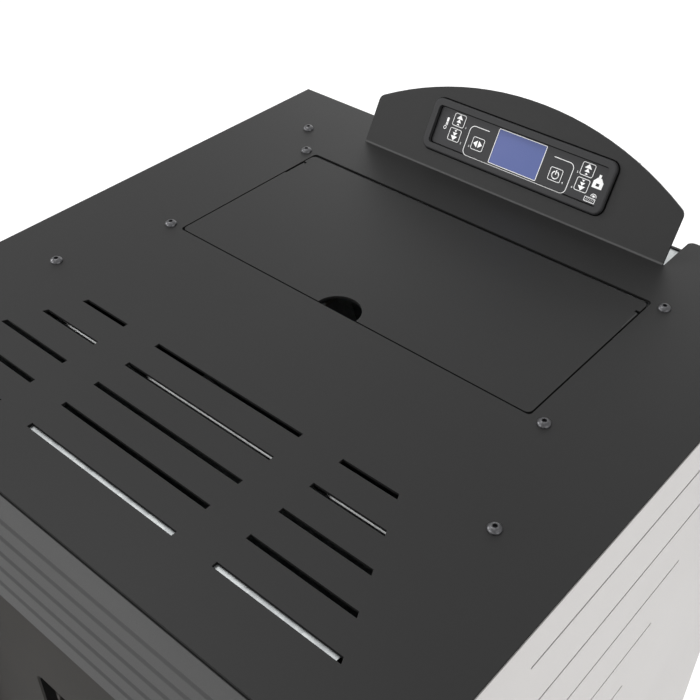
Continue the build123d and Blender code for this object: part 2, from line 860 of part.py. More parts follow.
# ---------------------------------------------------------------- firebox
smoke_hole = ((92.0, 372.0), (142.0, 448.0))
igniter_z = 428.0
axis_down = (0, -1, -1)
auger_origin = (0, auger_foot[0], auger_foot[1])
auger_plane = Plane(origin=auger_origin, x_dir=(1, 0, 0), z_dir=(0, -1, 1))
run = 1 / sqrt(2)
drop_origin = (
    0,
    auger_foot[0] - drop_station * run,
    auger_foot[1] + drop_station * run,
)
drop_plane = Plane(origin=drop_origin, x_dir=(1, 0, 0), z_dir=axis_down)
wall_distance = (drop_origin[1] - firebox_back) * sqrt(2)
chute_z = drop_origin[2] - wall_distance * run
fin_count = 13
fin_pitch = 23.0
fin_height = 58.0
with BuildPart() as firebox:
    with BuildSketch(upright(firebox_back)):
        area(
            (-firebox_half_width, firebox_span[0]),
            (firebox_half_width, firebox_span[1]),
        )
    extrude(amount=firebox_depth)
    offset(
        amount=-firebox_sheet,
        openings=firebox.faces().sort_by(Axis.Y)[0],
    )
    with BuildSketch(upright(firebox_face + firebox_sheet)):
        area(
            (-firebox_half_width - flange_width, firebox_span[0] - flange_width),
            (firebox_half_width + flange_width, firebox_span[1] + flange_width),
            corner=4,
        )
        area(
            (-firebox_mouth_half_width, firebox_mouth[0]),
            (firebox_mouth_half_width, firebox_mouth[1]),
            corner=10,
            mode=Mode.SUBTRACT,
        )
    extrude(amount=firebox_sheet)
    with BuildSketch(upright(firebox_back + 1)):
        area(*smoke_hole, mode=Mode.ADD)
        with Locations((intake_x, intake_z)):
            Circle(intake_radius + 0.2)
        with Locations((0, igniter_z)):
            Circle(5.2)
    extrude(amount=firebox_sheet + 2, mode=Mode.SUBTRACT)
    with BuildSketch(drop_plane):
        Circle(drop_radius + auger_wall + 0.2)
    extrude(amount=wall_distance + 45, mode=Mode.SUBTRACT)
    with BuildSketch(level(firebox_span[0] - 1)):
        area((-110, firebox_face + 12), (110, pot_y - pot_depth / 2 - 16))
    extrude(amount=firebox_sheet + 2, mode=Mode.SUBTRACT)
    # Fins on its top give their heat to the air in the duct.
    with BuildSketch(level(firebox_span[1])):
        with Locations((0, (duct_y[0] + duct_y[1]) / 2)):
            with GridLocations(fin_pitch, 0, fin_count, 1):
                Rectangle(3, duct_y[1] - duct_y[0] - 5)
    extrude(amount=fin_height)
firebox.part.label = "firebox"
export_step(firebox.part, "parts/firebox.step")

# Ribbed cast plates line the walls.
liner_bottom = firebox_span[0] + firebox_sheet
liner_top = firebox_top - 65
inner_side = firebox_half_width - firebox_sheet
liner_ribs = 24.0
with BuildPart() as firebox_liners:
    with BuildSketch(level(460)):
        area((-inner_side + 1, inner_back - liner_sheet), (inner_side - 1, inner_back))
        with Locations((0, inner_back - liner_sheet)):
            with GridLocations(liner_ribs, 0, 12, 1):
                Rectangle(6, 5, mode=Mode.SUBTRACT)
    extrude(amount=liner_top - 460)
    with BuildSketch(drop_plane):
        Circle(drop_radius + auger_wall + 0.3)
    extrude(amount=wall_distance + 60, mode=Mode.SUBTRACT)
    for side in (-1, 1):
        near = side * inner_side
        far = side * (inner_side - liner_sheet)
        with BuildSketch(level(liner_bottom)):
            area(
                (min(near, far), firebox_face + 8),
                (max(near, far), inner_back - liner_sheet - 0.3),
            )
            with Locations((far, (firebox_face + inner_back) / 2)):
                with GridLocations(0, liner_ribs, 1, 6):
                    Rectangle(5, 6, mode=Mode.SUBTRACT)
        extrude(amount=liner_top - liner_bottom)
    # The baffle lies on the side liners and leaves a way for the smoke at the front.
    with BuildSketch(level(liner_top + 0.2)):
        area(
            (-inner_side + 0.5, firebox_face + 50),
            (inner_side - 0.5, inner_back - 0.5),
        )
    extrude(amount=8)
firebox_liners.part.label = "firebox_liners"
export_step(firebox_liners.part, "parts/firebox_liners.step")

# ---------------------------------------------------------------- warm-air duct
duct_top = plate_top_height - duct_drop
duct_front_top = plate_underside - duct_front_gap
with BuildPart() as air_outlet_duct:
    with BuildSketch(level(firebox_span[1])):
        area((-duct_half_width, duct_y[0]), (duct_half_width, duct_y[1]))
        area(
            (-duct_half_width + duct_sheet, duct_y[0] + duct_sheet),
            (duct_half_width - duct_sheet, duct_y[1] - duct_sheet),
            mode=Mode.SUBTRACT,
        )
    extrude(amount=duct_top - firebox_span[1])
    with BuildSketch(level(duct_top - duct_sheet)):
        area(
            (-duct_half_width, duct_y[1] - duct_sheet / 2),
            (duct_half_width, duct_y[1] + duct_rear_flange),
        )
    extrude(amount=duct_sheet)
    # The front sheet is higher, so that its flange lies close under the front slots.
    with BuildSketch(level(duct_top - duct_sheet)):
        area((-duct_half_width, duct_y[0]), (duct_half_width, duct_y[0] + duct_sheet))
    extrude(amount=duct_front_top - duct_top + duct_sheet)
    with BuildSketch(level(duct_front_top - duct_sheet)):
        area(
            (-duct_half_width, duct_y[0] - duct_front_flange),
            (duct_half_width, duct_y[0] + duct_sheet),
        )
    extrude(amount=duct_sheet)
air_outlet_duct.part.label = "air_outlet_duct"
export_step(air_outlet_duct.part, "parts/air_outlet_duct.step")

# ---------------------------------------------------------------- hopper
mouth_front = rear_y - lid_front_back + 9
mouth_rear = rear_y - lid_rear_back + lid_rear_gap + 1.4
with BuildPart() as hopper:
    for inset, funnel_mode in ((0, Mode.ADD), (frame_sheet, Mode.SUBTRACT)):
        with BuildSketch(level(throat_height)) as funnel_foot:
            area(
                (-throat_half_width - frame_sheet + inset, throat_y[0] - frame_sheet + inset),
                (throat_half_width + frame_sheet - inset, throat_y[1] + frame_sheet - inset),
            )
        with BuildSketch(level(hopper_taper_top)) as funnel_mouth:
            area(
                (-hopper_half_width + inset, hopper_y[0] + inset),
                (hopper_half_width - inset, hopper_y[1] - inset),
            )
        loft(mode=funnel_mode)
        with BuildSketch(level(hopper_taper_top)):
            area(
                (-hopper_half_width + inset, hopper_y[0] + inset),
                (hopper_half_width - inset, hopper_y[1] - inset),
            )
        extrude(amount=hopper_top - hopper_taper_top, mode=funnel_mode)
    # The cover sheet carries the hopper on the rails and holds the lid's seal.
    with BuildSketch(level(hopper_top - frame_sheet)):
        area((-rail_inner, hopper_y[0] - 2), (rail_inner, hopper_y[1] + 3))
        area(
            (9 - lid_half_width, mouth_front),
            (lid_half_width - 9, lid_axis_y - 14),
            corner=3,
            mode=Mode.SUBTRACT,
        )
        area(
            (-lid_half_width - 7, lid_axis_y - 16),
            (lid_half_width + 7, mouth_rear),
            corner=1,
            mode=Mode.SUBTRACT,
        )
        with Locations((0, rear_y - lid_front_back)):
            Circle(notch_radius + 4, mode=Mode.SUBTRACT)
    extrude(amount=frame_sheet)
    with BuildSketch(level(throat_height)):
        area(
            (-throat_half_width - 14, throat_y[0] - 14),
            (throat_half_width + 14, throat_y[1] + 14),
        )
        area(
            (-throat_half_width, throat_y[0]),
            (throat_half_width, throat_y[1]),
            mode=Mode.SUBTRACT,
        )
    extrude(amount=frame_sheet)
    with BuildSketch(level(hopper_top)):
        with Locations(
            *[
                (side * u, rear_y - v)
                for u, v in (screw_places[1], screw_places[2])
                for side in (-1, 1)
            ]
        ):
            Circle(6)
    extrude(amount=plate_underside - hopper_top)
    with Locations(
        *[
            (side * u, rear_y - v, hopper_top)
            for u, v in (screw_places[1], screw_places[2])
            for side in (-1, 1)
        ]
    ):
        Cylinder(screw_hole / 2, 16, mode=Mode.SUBTRACT)
hopper.part.label = "hopper"
export_step(hopper.part, "parts/hopper.step")

# A soft strip on the cover sheet holds the lid's front and sides.
with BuildPart() as lid_seal:
    with BuildSketch(level(hopper_top)):
        seal_front = rear_y - lid_front_back + 1
        area((1 - lid_half_width, seal_front), (lid_half_width - 1, lid_axis_y - 18), corner=4)
        area(
            (8 - lid_half_width, seal_front + 7.5),
            (lid_half_width - 8, lid_axis_y),
            mode=Mode.SUBTRACT,
        )
        with Locations((0, rear_y - lid_front_back)):
            Circle(notch_radius + 5, mode=Mode.SUBTRACT)
    extrude(amount=plate_underside - hopper_top)
lid_seal.part.label = "lid_seal"
export_step(lid_seal.part, "parts/lid_seal.step")

# Loose bars keep hands out of the auger. They lie on the hopper's slopes.
bar_radius = 2.0
grille_z = hopper_taper_top + 5.42
grille_rests = (hopper_y[0] + 45, hopper_y[1] - 45)
with BuildPart() as hopper_grille:
    with BuildSketch(upright(hopper_y[1] - frame_sheet - 0.5)):
        with Locations((0, grille_z)):
            with GridLocations(38, 0, 9, 1):
                Circle(bar_radius)
    extrude(amount=hopper_y[1] - hopper_y[0] - 2 * frame_sheet - 1)
    with BuildSketch(sideways(-hopper_half_width + frame_sheet + 0.5)):
        with Locations(*[(y, grille_z - 2 * bar_radius - 0.02) for y in grille_rests]):
            Circle(bar_radius)
    extrude(amount=2 * (hopper_half_width - frame_sheet - 0.5))
hopper_grille.part.label = "hopper_grille"
export_step(hopper_grille.part, "parts/hopper_grille.step")

# ---------------------------------------------------------------- auger
# The collar's blocks stop at the tube's axis, so they end inside the tube.
axis_split = Plane(origin=auger_origin, x_dir=(1, 0, 0), z_dir=(0, 1, 1))
with BuildPart() as collar_block:
    with BuildSketch(level(throat_height)):
        area(
            (-throat_half_width - frame_sheet, throat_y[0] - frame_sheet),
            (throat_half_width + frame_sheet, throat_y[1] + frame_sheet),
        )
    extrude(amount=-160)
    split(bisect_by=axis_split, keep=Keep.TOP)

with BuildPart() as collar_way:
    with BuildSketch(level(throat_height + 1)):
        area(
            (-throat_half_width, throat_y[0]),
            (throat_half_width, throat_y[1]),
        )
    extrude(amount=-160)
    split(bisect_by=axis_split.offset(2), keep=Keep.TOP)

with BuildPart() as auger_tube:
    add(collar_block.part)
    with BuildSketch(level(throat_height)):
        area(
            (-throat_half_width - 14, throat_y[0] - 14),
            (throat_half_width + 14, throat_y[1] + 14),
        )
    extrude(amount=-2)
    with BuildSketch(auger_plane):
        Circle(auger_bore + auger_wall)
    extrude(amount=auger_tube_length)
    with BuildSketch(auger_plane):
        Circle(auger_bore + 12)
    extrude(amount=3)
    with BuildSketch(drop_plane):
        Circle(drop_radius + auger_wall)
    extrude(amount=wall_distance + 36)
    with BuildSketch(upright(firebox_back + 3)):
        with Locations((0, chute_z)):
            RectangleRounded(100, 120, 8)
    extrude(amount=3)
    with BuildSketch(drop_plane):
        Circle(drop_radius)
    extrude(amount=wall_distance + 50, mode=Mode.SUBTRACT)
    with BuildSketch(auger_plane.offset(3)):
        Circle(auger_bore)
    extrude(amount=auger_tube_length - 5, mode=Mode.SUBTRACT)
    with BuildSketch(auger_plane.offset(-1)):
        Circle(auger_shaft + 0.1)
    extrude(amount=6, mode=Mode.SUBTRACT)
    add(collar_way.part, mode=Mode.SUBTRACT)
    # The chute's end is cut off upright, just inside the liner.
    slab(
        (-60, firebox_back - 113, chute_z - 83),
        (60, inner_back - liner_sheet - 4, chute_z + 77),
        mode=Mode.SUBTRACT,
    )
auger_tube.part.label = "auger_tube"
export_step(auger_tube.part, "parts/auger_tube.step")

flight_turns = 3.6
flight_start = 8.0
flight_centre = auger_plane.from_local_coords((0, 0, flight_start))
with BuildPart() as auger_screw:
    with BuildSketch(auger_plane.offset(-24)):
        Circle(auger_shaft)
    extrude(amount=24 + auger_tube_length - 6)
    with BuildLine() as flight_path:
        Helix(
            auger_pitch,
            auger_pitch * flight_turns,
            (auger_shaft + auger_radius) / 2,
            center=flight_centre,
            direction=auger_plane.z_dir,
        )
    path_start = flight_path.line @ 0
    with BuildSketch(
        Plane(
            origin=path_start,
            x_dir=path_start - Vector(flight_centre),
            z_dir=flight_path.line % 0,
        )
    ):
        Rectangle(auger_radius - auger_shaft + 2, 3)
    sweep(path=flight_path.line, is_frenet=True)
auger_screw.part.label = "auger_screw"
export_step(auger_screw.part, "parts/auger_screw.step")

gearbox_depth = 45.0
with BuildPart() as auger_gearmotor:
    with BuildSketch(auger_plane):
        RectangleRounded(84, 64, 8)
    extrude(amount=-gearbox_depth)
    with BuildSketch(auger_plane.offset(-gearbox_depth)):
        Circle(28)
    extrude(amount=-38)
    with BuildSketch(auger_plane.offset(-gearbox_depth - 8)):
        Rectangle(60, 46)
    extrude(amount=-22)
    with BuildSketch(auger_plane.offset(1)):
        Circle(auger_shaft + shaft_clearance)
    extrude(amount=-32, mode=Mode.SUBTRACT)
auger_gearmotor.part.label = "auger_gearmotor"
export_step(auger_gearmotor.part, "parts/auger_gearmotor.step")

# ---------------------------------------------------------------- burner pot
seat_front = pot_y - pot_depth / 2 - 12
seat_rear = inner_back
with BuildPart() as pot_seat:
    with BuildSketch(level(liner_bottom)):
        area((-85, seat_front), (85, seat_rear))
    extrude(amount=pot_rim_height - liner_bottom)
    offset(amount=-4, openings=pot_seat.faces().sort_by(Axis.Z)[0])
    with BuildSketch(level(pot_rim_height + 1)):
        with Locations((0, pot_y)):
            RectangleRounded(pot_width + 2, pot_depth + 2, 7)
    extrude(amount=-6, mode=Mode.SUBTRACT)
    with BuildSketch(upright(seat_rear + 1)):
        with Locations((intake_x, intake_z)):
            Circle(intake_radius + 0.2)
        with Locations((0, igniter_z)):
            Circle(5.2)
    extrude(amount=6, mode=Mode.SUBTRACT)
pot_seat.part.label = "pot_seat"
export_step(pot_seat.part, "parts/pot_seat.step")

with BuildPart() as burner_pot:
    with BuildSketch(level(pot_span[0])):
        with Locations((0, pot_y)):
            RectangleRounded(pot_width, pot_depth, 6)
    extrude(amount=pot_span[1] - pot_span[0])
    offset(amount=-pot_wall, openings=burner_pot.faces().sort_by(Axis.Z)[-1])
    with BuildSketch(level(pot_rim_height)):
        with Locations((0, pot_y)):
            RectangleRounded(pot_width + 2 * pot_lip[0], pot_depth + 2 * pot_lip[1], 9)
            RectangleRounded(pot_width - 4, pot_depth - 4, 4, mode=Mode.SUBTRACT)
    extrude(amount=4)
    with BuildSketch(level(pot_span[0] - 1)):
        with Locations((0, pot_y)):
            with GridLocations(18, 18, 5, 3):
                Circle(2.5)
    extrude(amount=pot_wall + 2, mode=Mode.SUBTRACT)
    with BuildSketch(upright(pot_y + pot_depth / 2 + 1)):
        with Locations((0, igniter_z)):
            Circle(5.5)
    extrude(amount=pot_wall + 2, mode=Mode.SUBTRACT)
    with BuildSketch(upright(pot_y + pot_depth / 2 + 1)):
        with Locations((0, 470)):
            with GridLocations(20, 0, 4, 1):
                Circle(2)
    extrude(amount=pot_depth + 2, mode=Mode.SUBTRACT)
burner_pot.part.label = "burner_pot"
export_step(burner_pot.part, "parts/burner_pot.step")

igniter_tip = pot_y + pot_depth / 2 + 1.5
with BuildPart() as igniter:
    with BuildSketch(upright(firebox_back + 22)):
        with Locations((0, igniter_z)):
            Circle(5)
    extrude(amount=firebox_back + 22 - igniter_tip)
    with BuildSketch(upright(firebox_back + 12)):
        with Locations((0, igniter_z)):
            RegularPolygon(10, 6)
    extrude(amount=12)
igniter.part.label = "igniter"
export_step(igniter.part, "parts/igniter.step")

intake_end = rear_y + 40
with BuildPart() as air_intake_pipe:
    with BuildSketch(upright(intake_end)):
        with Locations((intake_x, intake_z)):
            Circle(intake_radius)
            Circle(intake_radius - frame_sheet, mode=Mode.SUBTRACT)
    extrude(amount=intake_end - inner_back + 6)
    for collar_back in (firebox_back + 2, rear_y + 2):
        with BuildSketch(upright(collar_back)):
            with Locations((intake_x, intake_z)):
                Circle(intake_radius + 9)
                Circle(intake_radius - 0.5, mode=Mode.SUBTRACT)
        extrude(amount=2)
air_intake_pipe.part.label = "air_intake_pipe"
export_step(air_intake_pipe.part, "parts/air_intake_pipe.step")

# ---------------------------------------------------------------- smoke path
fan_x = 117.0
fan_y = firebox_back + 47
fan_radius = 72.0
fan_bottom = 130.0
fan_top = 194.0
with BuildPart() as smoke_duct:
    with BuildSketch(level(fan_top)):
        area((84, firebox_back), (150, firebox_back + 62))
    extrude(amount=456 - fan_top)
    offset(
        amount=-2,
        openings=smoke_duct.faces().sort_by(Axis.Y)[0],
    )
    with BuildSketch(upright(firebox_back + 2)):
        area((84, fan_top), (150, 456))
    extrude(amount=2)
    with BuildSketch(upright(firebox_back + 3)):
        area(*smoke_hole)
    extrude(amount=5, mode=Mode.SUBTRACT)
    with BuildSketch(level(fan_top - 1)):
        with Locations((fan_x, fan_y - 16)):
            Circle(24)
    extrude(amount=5, mode=Mode.SUBTRACT)
smoke_duct.part.label = "smoke_duct"
export_step(smoke_duct.part, "parts/smoke_duct.step")

outlet_half = 32.0
outlet_end = fan_y + 140
fan_middle = (fan_bottom + fan_top) / 2
with BuildPart() as exhaust_fan_housing:
    with BuildSketch(level(fan_bottom)):
        with Locations((fan_x, fan_y)):
            Circle(fan_radius)
        area((flue_x - outlet_half, fan_y), (flue_x + outlet_half, outlet_end))
    extrude(amount=fan_top - fan_bottom)
    offset(
        amount=-frame_sheet,
        openings=exhaust_fan_housing.faces().sort_by(Axis.Y)[-1],
    )
    with BuildSketch(level(fan_top + 1)):
        with Locations((fan_x, fan_y - 16)):
            Circle(24)
    extrude(amount=-4, mode=Mode.SUBTRACT)
    with BuildSketch(level(fan_bottom - 1)):
        with Locations((fan_x, fan_y)):
            Circle(6)
    extrude(amount=4, mode=Mode.SUBTRACT)
exhaust_fan_housing.part.label = "exhaust_fan_housing"
export_step(exhaust_fan_housing.part, "parts/exhaust_fan_housing.step")

blade_count = 10
with BuildSketch() as exhaust_blade:
    with BuildLine():
        ThreePointArc((16, 0), (34, 7), (54, 0))
        Line((54, 0), (54, 1.6))
        ThreePointArc((54, 1.6), (34, 8.6), (16, 1.6))
        Line((16, 1.6), (16, 0))
    make_face()
with BuildPart() as exhaust_impeller:
    with BuildSketch(level(fan_bottom + 10)):
        with Locations((fan_x, fan_y)):
            Circle(56)
    extrude(amount=2)
    with BuildSketch(level(fan_bottom + 12)):
        with Locations((fan_x, fan_y)):
            with PolarLocations(0, blade_count):
                add(exhaust_blade.sketch)
    extrude(amount=34)
    with BuildSketch(level(fan_bottom - 22)):
        with Locations((fan_x, fan_y)):
            Circle(4)
    extrude(amount=54)
    with BuildSketch(level(fan_bottom + 12)):
        with Locations((fan_x, fan_y)):
            Circle(10)
    extrude(amount=16)
exhaust_impeller.part.label = "exhaust_impeller"
export_step(exhaust_impeller.part, "parts/exhaust_impeller.step")

with BuildPart() as exhaust_motor:
    with BuildSketch(level(fan_bottom)):
        with Locations((fan_x, fan_y)):
            Circle(36)
    extrude(amount=-50)
    with Locations((fan_x, fan_y, fan_bottom)):
        Cylinder(4 + shaft_clearance, 48, mode=Mode.SUBTRACT)
    fillet(exhaust_motor.edges().filter_by(GeomType.CIRCLE).sort_by(Axis.Z)[0], 4)
exhaust_motor.part.label = "exhaust_motor"
export_step(exhaust_motor.part, "parts/exhaust_motor.step")

flue_end = rear_y + flue_reach
with BuildPart() as flue_spigot:
    for wall, flue_mode in ((0, Mode.ADD), (frame_sheet, Mode.SUBTRACT)):
        with BuildSketch(upright(rear_y)):
            with Locations((flue_x, flue_z)):
                Circle(flue_radius - wall)
        with BuildSketch(upright(outlet_end)):
            with Locations((flue_x, fan_middle)):
                RectangleRounded(
                    2 * (outlet_half - wall),
                    fan_top - fan_bottom - 2 * wall,
                    4 - wall,
                )
        loft(mode=flue_mode)
        with BuildSketch(upright(flue_end)):
            with Locations((flue_x, flue_z)):
                Circle(flue_radius - wall)
        extrude(amount=flue_end - rear_y, mode=flue_mode)
flue_spigot.part.label = "flue_spigot"
export_step(flue_spigot.part, "parts/flue_spigot.step")

# ---------------------------------------------------------------- room fan
with BuildPart() as room_fan_housing:
    with BuildSketch(sideways(-drum_half - 4)) as scroll:
        with Locations((drum_y, drum_z)):
            Circle(drum_radius + 8)
        area((drum_y - drum_radius - 8, drum_z), (drum_y + drum_radius + 8, drum_z + 70))
    extrude(amount=2 * drum_half + 8)
    offset(
        amount=-frame_sheet,
        openings=room_fan_housing.faces().sort_by(Axis.Z)[-1],
    )
    with BuildSketch(upright(drum_y - drum_radius + 2)):
        area((-drum_half + 2, drum_z - 22), (drum_half - 2, drum_z + 22), corner=3)
    extrude(amount=20, mode=Mode.SUBTRACT)
    with BuildSketch(sideways(drum_half - 4)):
        with Locations((drum_y, drum_z)):
            Circle(4 + shaft_clearance)
    extrude(amount=20, mode=Mode.SUBTRACT)
    with BuildSketch(sideways(-drum_half - 16)):
        with Locations((drum_y, drum_z)):
            Circle(4 + shaft_clearance)
    extrude(amount=20, mode=Mode.SUBTRACT)
    for x in (-100, 100):
        slab((x - 10, drum_y - 30, base_height + 2), (x + 10, drum_y + 30, base_height + 4))
        slab((x - 10, drum_y - 1, base_height + 2), (x + 10, drum_y + 1, drum_z - 41))
room_fan_housing.part.label = "room_fan_housing"
export_step(room_fan_housing.part, "parts/room_fan_housing.step")

drum_blades = 20
with BuildSketch() as drum_blade:
    with BuildLine():
        ThreePointArc((24, 0), (28.5, 2.4), (33, 1))
        Line((33, 1), (33, 2.2))
        ThreePointArc((33, 2.2), (28.5, 3.6), (24, 1.2))
        Line((24, 1.2), (24, 0))
    make_face()
with BuildPart() as room_fan_drum:
    with BuildSketch(sideways(-drum_half + 2)):
        with Locations((drum_y, drum_z)):
            with PolarLocations(0, drum_blades):
                add(drum_blade.sketch)
    extrude(amount=2 * drum_half - 4)
    for x in (-drum_half + 2, -1, drum_half - 4):
        with BuildSketch(sideways(x)):
            with Locations((drum_y, drum_z)):
                Circle(drum_radius)
        extrude(amount=2)
    with BuildSketch(sideways(-drum_half - 3)):
        with Locations((drum_y, drum_z)):
            Circle(4)
    extrude(amount=2 * drum_half + 26)
room_fan_drum.part.label = "room_fan_drum"
export_step(room_fan_drum.part, "parts/room_fan_drum.step")

with BuildPart() as room_fan_motor:
    with BuildSketch(sideways(drum_half + 4)):
        with Locations((drum_y, drum_z)):
            Circle(30)
    extrude(amount=44)
    with BuildSketch(sideways(drum_half + 3)):
        with Locations((drum_y, drum_z)):
            Circle(4 + shaft_clearance)
    extrude(amount=30, mode=Mode.SUBTRACT)
    fillet(room_fan_motor.edges().filter_by(GeomType.CIRCLE).sort_by(Axis.X)[-1], 3)
room_fan_motor.part.label = "room_fan_motor"
export_step(room_fan_motor.part, "parts/room_fan_motor.step")

# ---------------------------------------------------------------- ash drawer
drawer_rear = firebox_back - 13
pan_back = door_face + 18
with BuildPart() as ash_drawer:
    with BuildSketch(upright(pan_back)):
        area((-door_half_width, drawer_front[0]), (door_half_width, drawer_front[1]))
    extrude(amount=pan_back - door_face)
    offset(
        amount=-skin_sheet,
        openings=ash_drawer.faces().sort_by(Axis.Y)[-1],
    )
    with BuildSketch(upright(pan_back + skin_sheet)):
        area(
            (-door_half_width, drawer_front[0]),
            (door_half_width, drawer_front[1]),
        )
    extrude(amount=skin_sheet)
    with BuildSketch(level(drawer_floor)):
        area((-drawer_half, pan_back + skin_sheet), (drawer_half, drawer_rear))
        area(
            (-drawer_half + skin_sheet, pan_back + 2 * skin_sheet),
            (drawer_half - skin_sheet, drawer_rear - skin_sheet),
            mode=Mode.SUBTRACT,
        )
    extrude(amount=drawer_wall_top - drawer_floor)
    with BuildSketch(level(drawer_floor)):
        area((-drawer_half, pan_back + skin_sheet), (drawer_half, drawer_rear))
    extrude(amount=skin_sheet)
    # The knob is turned.
    knob_z = (drawer_front[0] + drawer_front[1]) / 2
    with BuildSketch(level(knob_z)):
        with BuildLine():
            Polyline((0, door_face), (6, door_face), (6, door_face - 10))
            ThreePointArc((6, door_face - 10), (12, door_face - 15), (10, door_face - 22))
            Polyline((10, door_face - 22), (0, door_face - 22), (0, door_face))
        make_face()
    revolve(axis=Axis((0, 0, knob_z), (0, 1, 0)))
ash_drawer.part.label = "ash_drawer"
export_step(ash_drawer.part, "parts/ash_drawer.step")

rail_top = drawer_floor - running_gap
rail_side = drawer_half + 4
runner_end = drawer_rear + 10
with BuildPart() as drawer_runners:
    for side in (-1, 1):
        with BuildSketch(upright(runner_end)):
            with BuildLine():
                Polyline(
                    (side * (drawer_half - 14), rail_top),
                    (side * (drawer_half + 2.5), rail_top),
                    (side * (drawer_half + 2.5), rail_top + 20),
                    (side * rail_side, rail_top + 20),
                    (side * rail_side, rail_top - frame_sheet),
                    (side * (drawer_half - 14), rail_top - frame_sheet),
                    close=True,
                )
            make_face()
        extrude(amount=runner_end - front_frame_y - frame_sheet)
        near, far = side * (drawer_half + 2.5), side * (drawer_half + 24)
        slab(
            (min(near, far), front_frame_y + frame_sheet, rail_top - 20),
            (max(near, far), front_frame_y + 2 * frame_sheet, rail_top + 20),
        )
        near, far = side * (drawer_half + 2.5), side * rail_side
        slab(
            (min(near, far), drawer_rear - 30, rail_top),
            (max(near, far), drawer_rear, firebox_span[0]),
        )
    slab(
        (-rail_side, drawer_rear + 3.5, rail_top - frame_sheet),
        (rail_side, runner_end, rail_top - frame_sheet + 20),
    )
drawer_runners.part.label = "drawer_runners"
export_step(drawer_runners.part, "parts/drawer_runners.step")

# ---------------------------------------------------------------- door
glass_half_width = window_half_width + glass_overlap
glass_span = (window_span[0] - glass_overlap, window_span[1] + glass_overlap)
glass_face = door_back + glass_seal_thickness
glass_back = glass_face + glass_thickness
with BuildPart() as door_frame:
    with BuildSketch(upright(door_back)):
        area((-door_half_width, door_span[0]), (door_half_width, door_span[1]), corner=2)
        area(
            (-window_half_width, window_span[0]),
            (window_half_width, window_span[1]),
            corner=window_corner,
            mode=Mode.SUBTRACT,
        )
    extrude(amount=door_thickness)
    front_edges = door_frame.faces().sort_by(Axis.Y)[0].edges()
    chamfer(front_edges, 1.5)
    with BuildSketch(upright(door_back + 1)):
        area(
            (-gasket_half_width - gasket_size / 2, gasket_span[0] - gasket_size / 2),
            (gasket_half_width + gasket_size / 2, gasket_span[1] + gasket_size / 2),
            corner=18,
        )
        area(
            (-gasket_half_width + gasket_size / 2, gasket_span[0] + gasket_size / 2),
            (gasket_half_width - gasket_size / 2, gasket_span[1] - gasket_size / 2),
            corner=6,
            mode=Mode.SUBTRACT,
        )
    extrude(amount=gasket_groove + 1, mode=Mode.SUBTRACT)
    for pin_plane, pin_run in ((level(door_span[0]), 22), (level(door_span[1]), -22)):
        with BuildSketch(pin_plane):
            with Locations((hinge_x, (door_face + door_back) / 2)):
                Circle(hinge_pin_radius + shaft_clearance)
        extrude(amount=pin_run, mode=Mode.SUBTRACT)
    with BuildSketch(upright(door_back + 1)):
        with Locations((latch_x, latch_z)):
            Circle(spindle_radius + shaft_clearance)
    extrude(amount=door_thickness + 2, mode=Mode.SUBTRACT)
door_frame.part.label = "door_frame"
export_step(door_frame.part, "parts/door_frame.step")

with BuildPart() as door_seals:
    with BuildSketch(upright(firebox_face)):
        area(
            (-gasket_half_width - gasket_size / 2, gasket_span[0] - gasket_size / 2),
            (gasket_half_width + gasket_size / 2, gasket_span[1] + gasket_size / 2),
            corner=18,
        )
        area(
            (-gasket_half_width + gasket_size / 2, gasket_span[0] + gasket_size / 2),
            (gasket_half_width - gasket_size / 2, gasket_span[1] - gasket_size / 2),
            corner=6,
            mode=Mode.SUBTRACT,
        )
    extrude(amount=gasket_size)
    fillet(door_seals.faces().sort_by(Axis.Y)[-1].edges(), 3.5)
    # A flat tape lies between the frame and the glass.
    with BuildSketch(upright(glass_face)):
        area((-glass_half_width, glass_span[0]), (glass_half_width, glass_span[1]), corner=4)
        area(
            (-window_half_width, window_span[0]),
            (window_half_width, window_span[1]),
            corner=window_corner,
            mode=Mode.SUBTRACT,
        )
    extrude(amount=glass_seal_thickness)
door_seals.part.label = "door_seals"
export_step(door_seals.part, "parts/door_seals.step")

with BuildPart() as door_glass:
    with BuildSketch(upright(glass_back)):
        area((-glass_half_width, glass_span[0]), (glass_half_width, glass_span[1]), corner=4)
    extrude(amount=glass_thickness)
door_glass.part.label = "door_glass"
export_step(door_glass.part, "parts/door_glass.step")

clip_x = glass_half_width + 1
window_middle = (window_span[0] + window_span[1]) / 2
clip_heights = (window_span[0] + 32, window_middle, window_span[1] - 32)
clip_width = 20.0
with BuildPart() as glass_clips:
    for side in (-1, 1):
        for clip_z in clip_heights:
            with BuildSketch(level(clip_z - clip_width / 2)):
                with BuildLine():
                    Polyline(
                        (side * (clip_x + 11.5), door_back),
                        (side * (clip_x + 11.5), door_back + frame_sheet),
                        (side * (clip_x + frame_sheet), door_back + frame_sheet),
                        (side * (clip_x + frame_sheet), glass_back + frame_sheet),
                        (side * (clip_x - 7), glass_back + frame_sheet),
                        (side * (clip_x - 7), glass_back),
                        (side * clip_x, glass_back),
                        (side * clip_x, door_back),
                        close=True,
                    )
                make_face()
            extrude(amount=clip_width)
glass_clips.part.label = "glass_clips"
export_step(glass_clips.part, "parts/glass_clips.step")

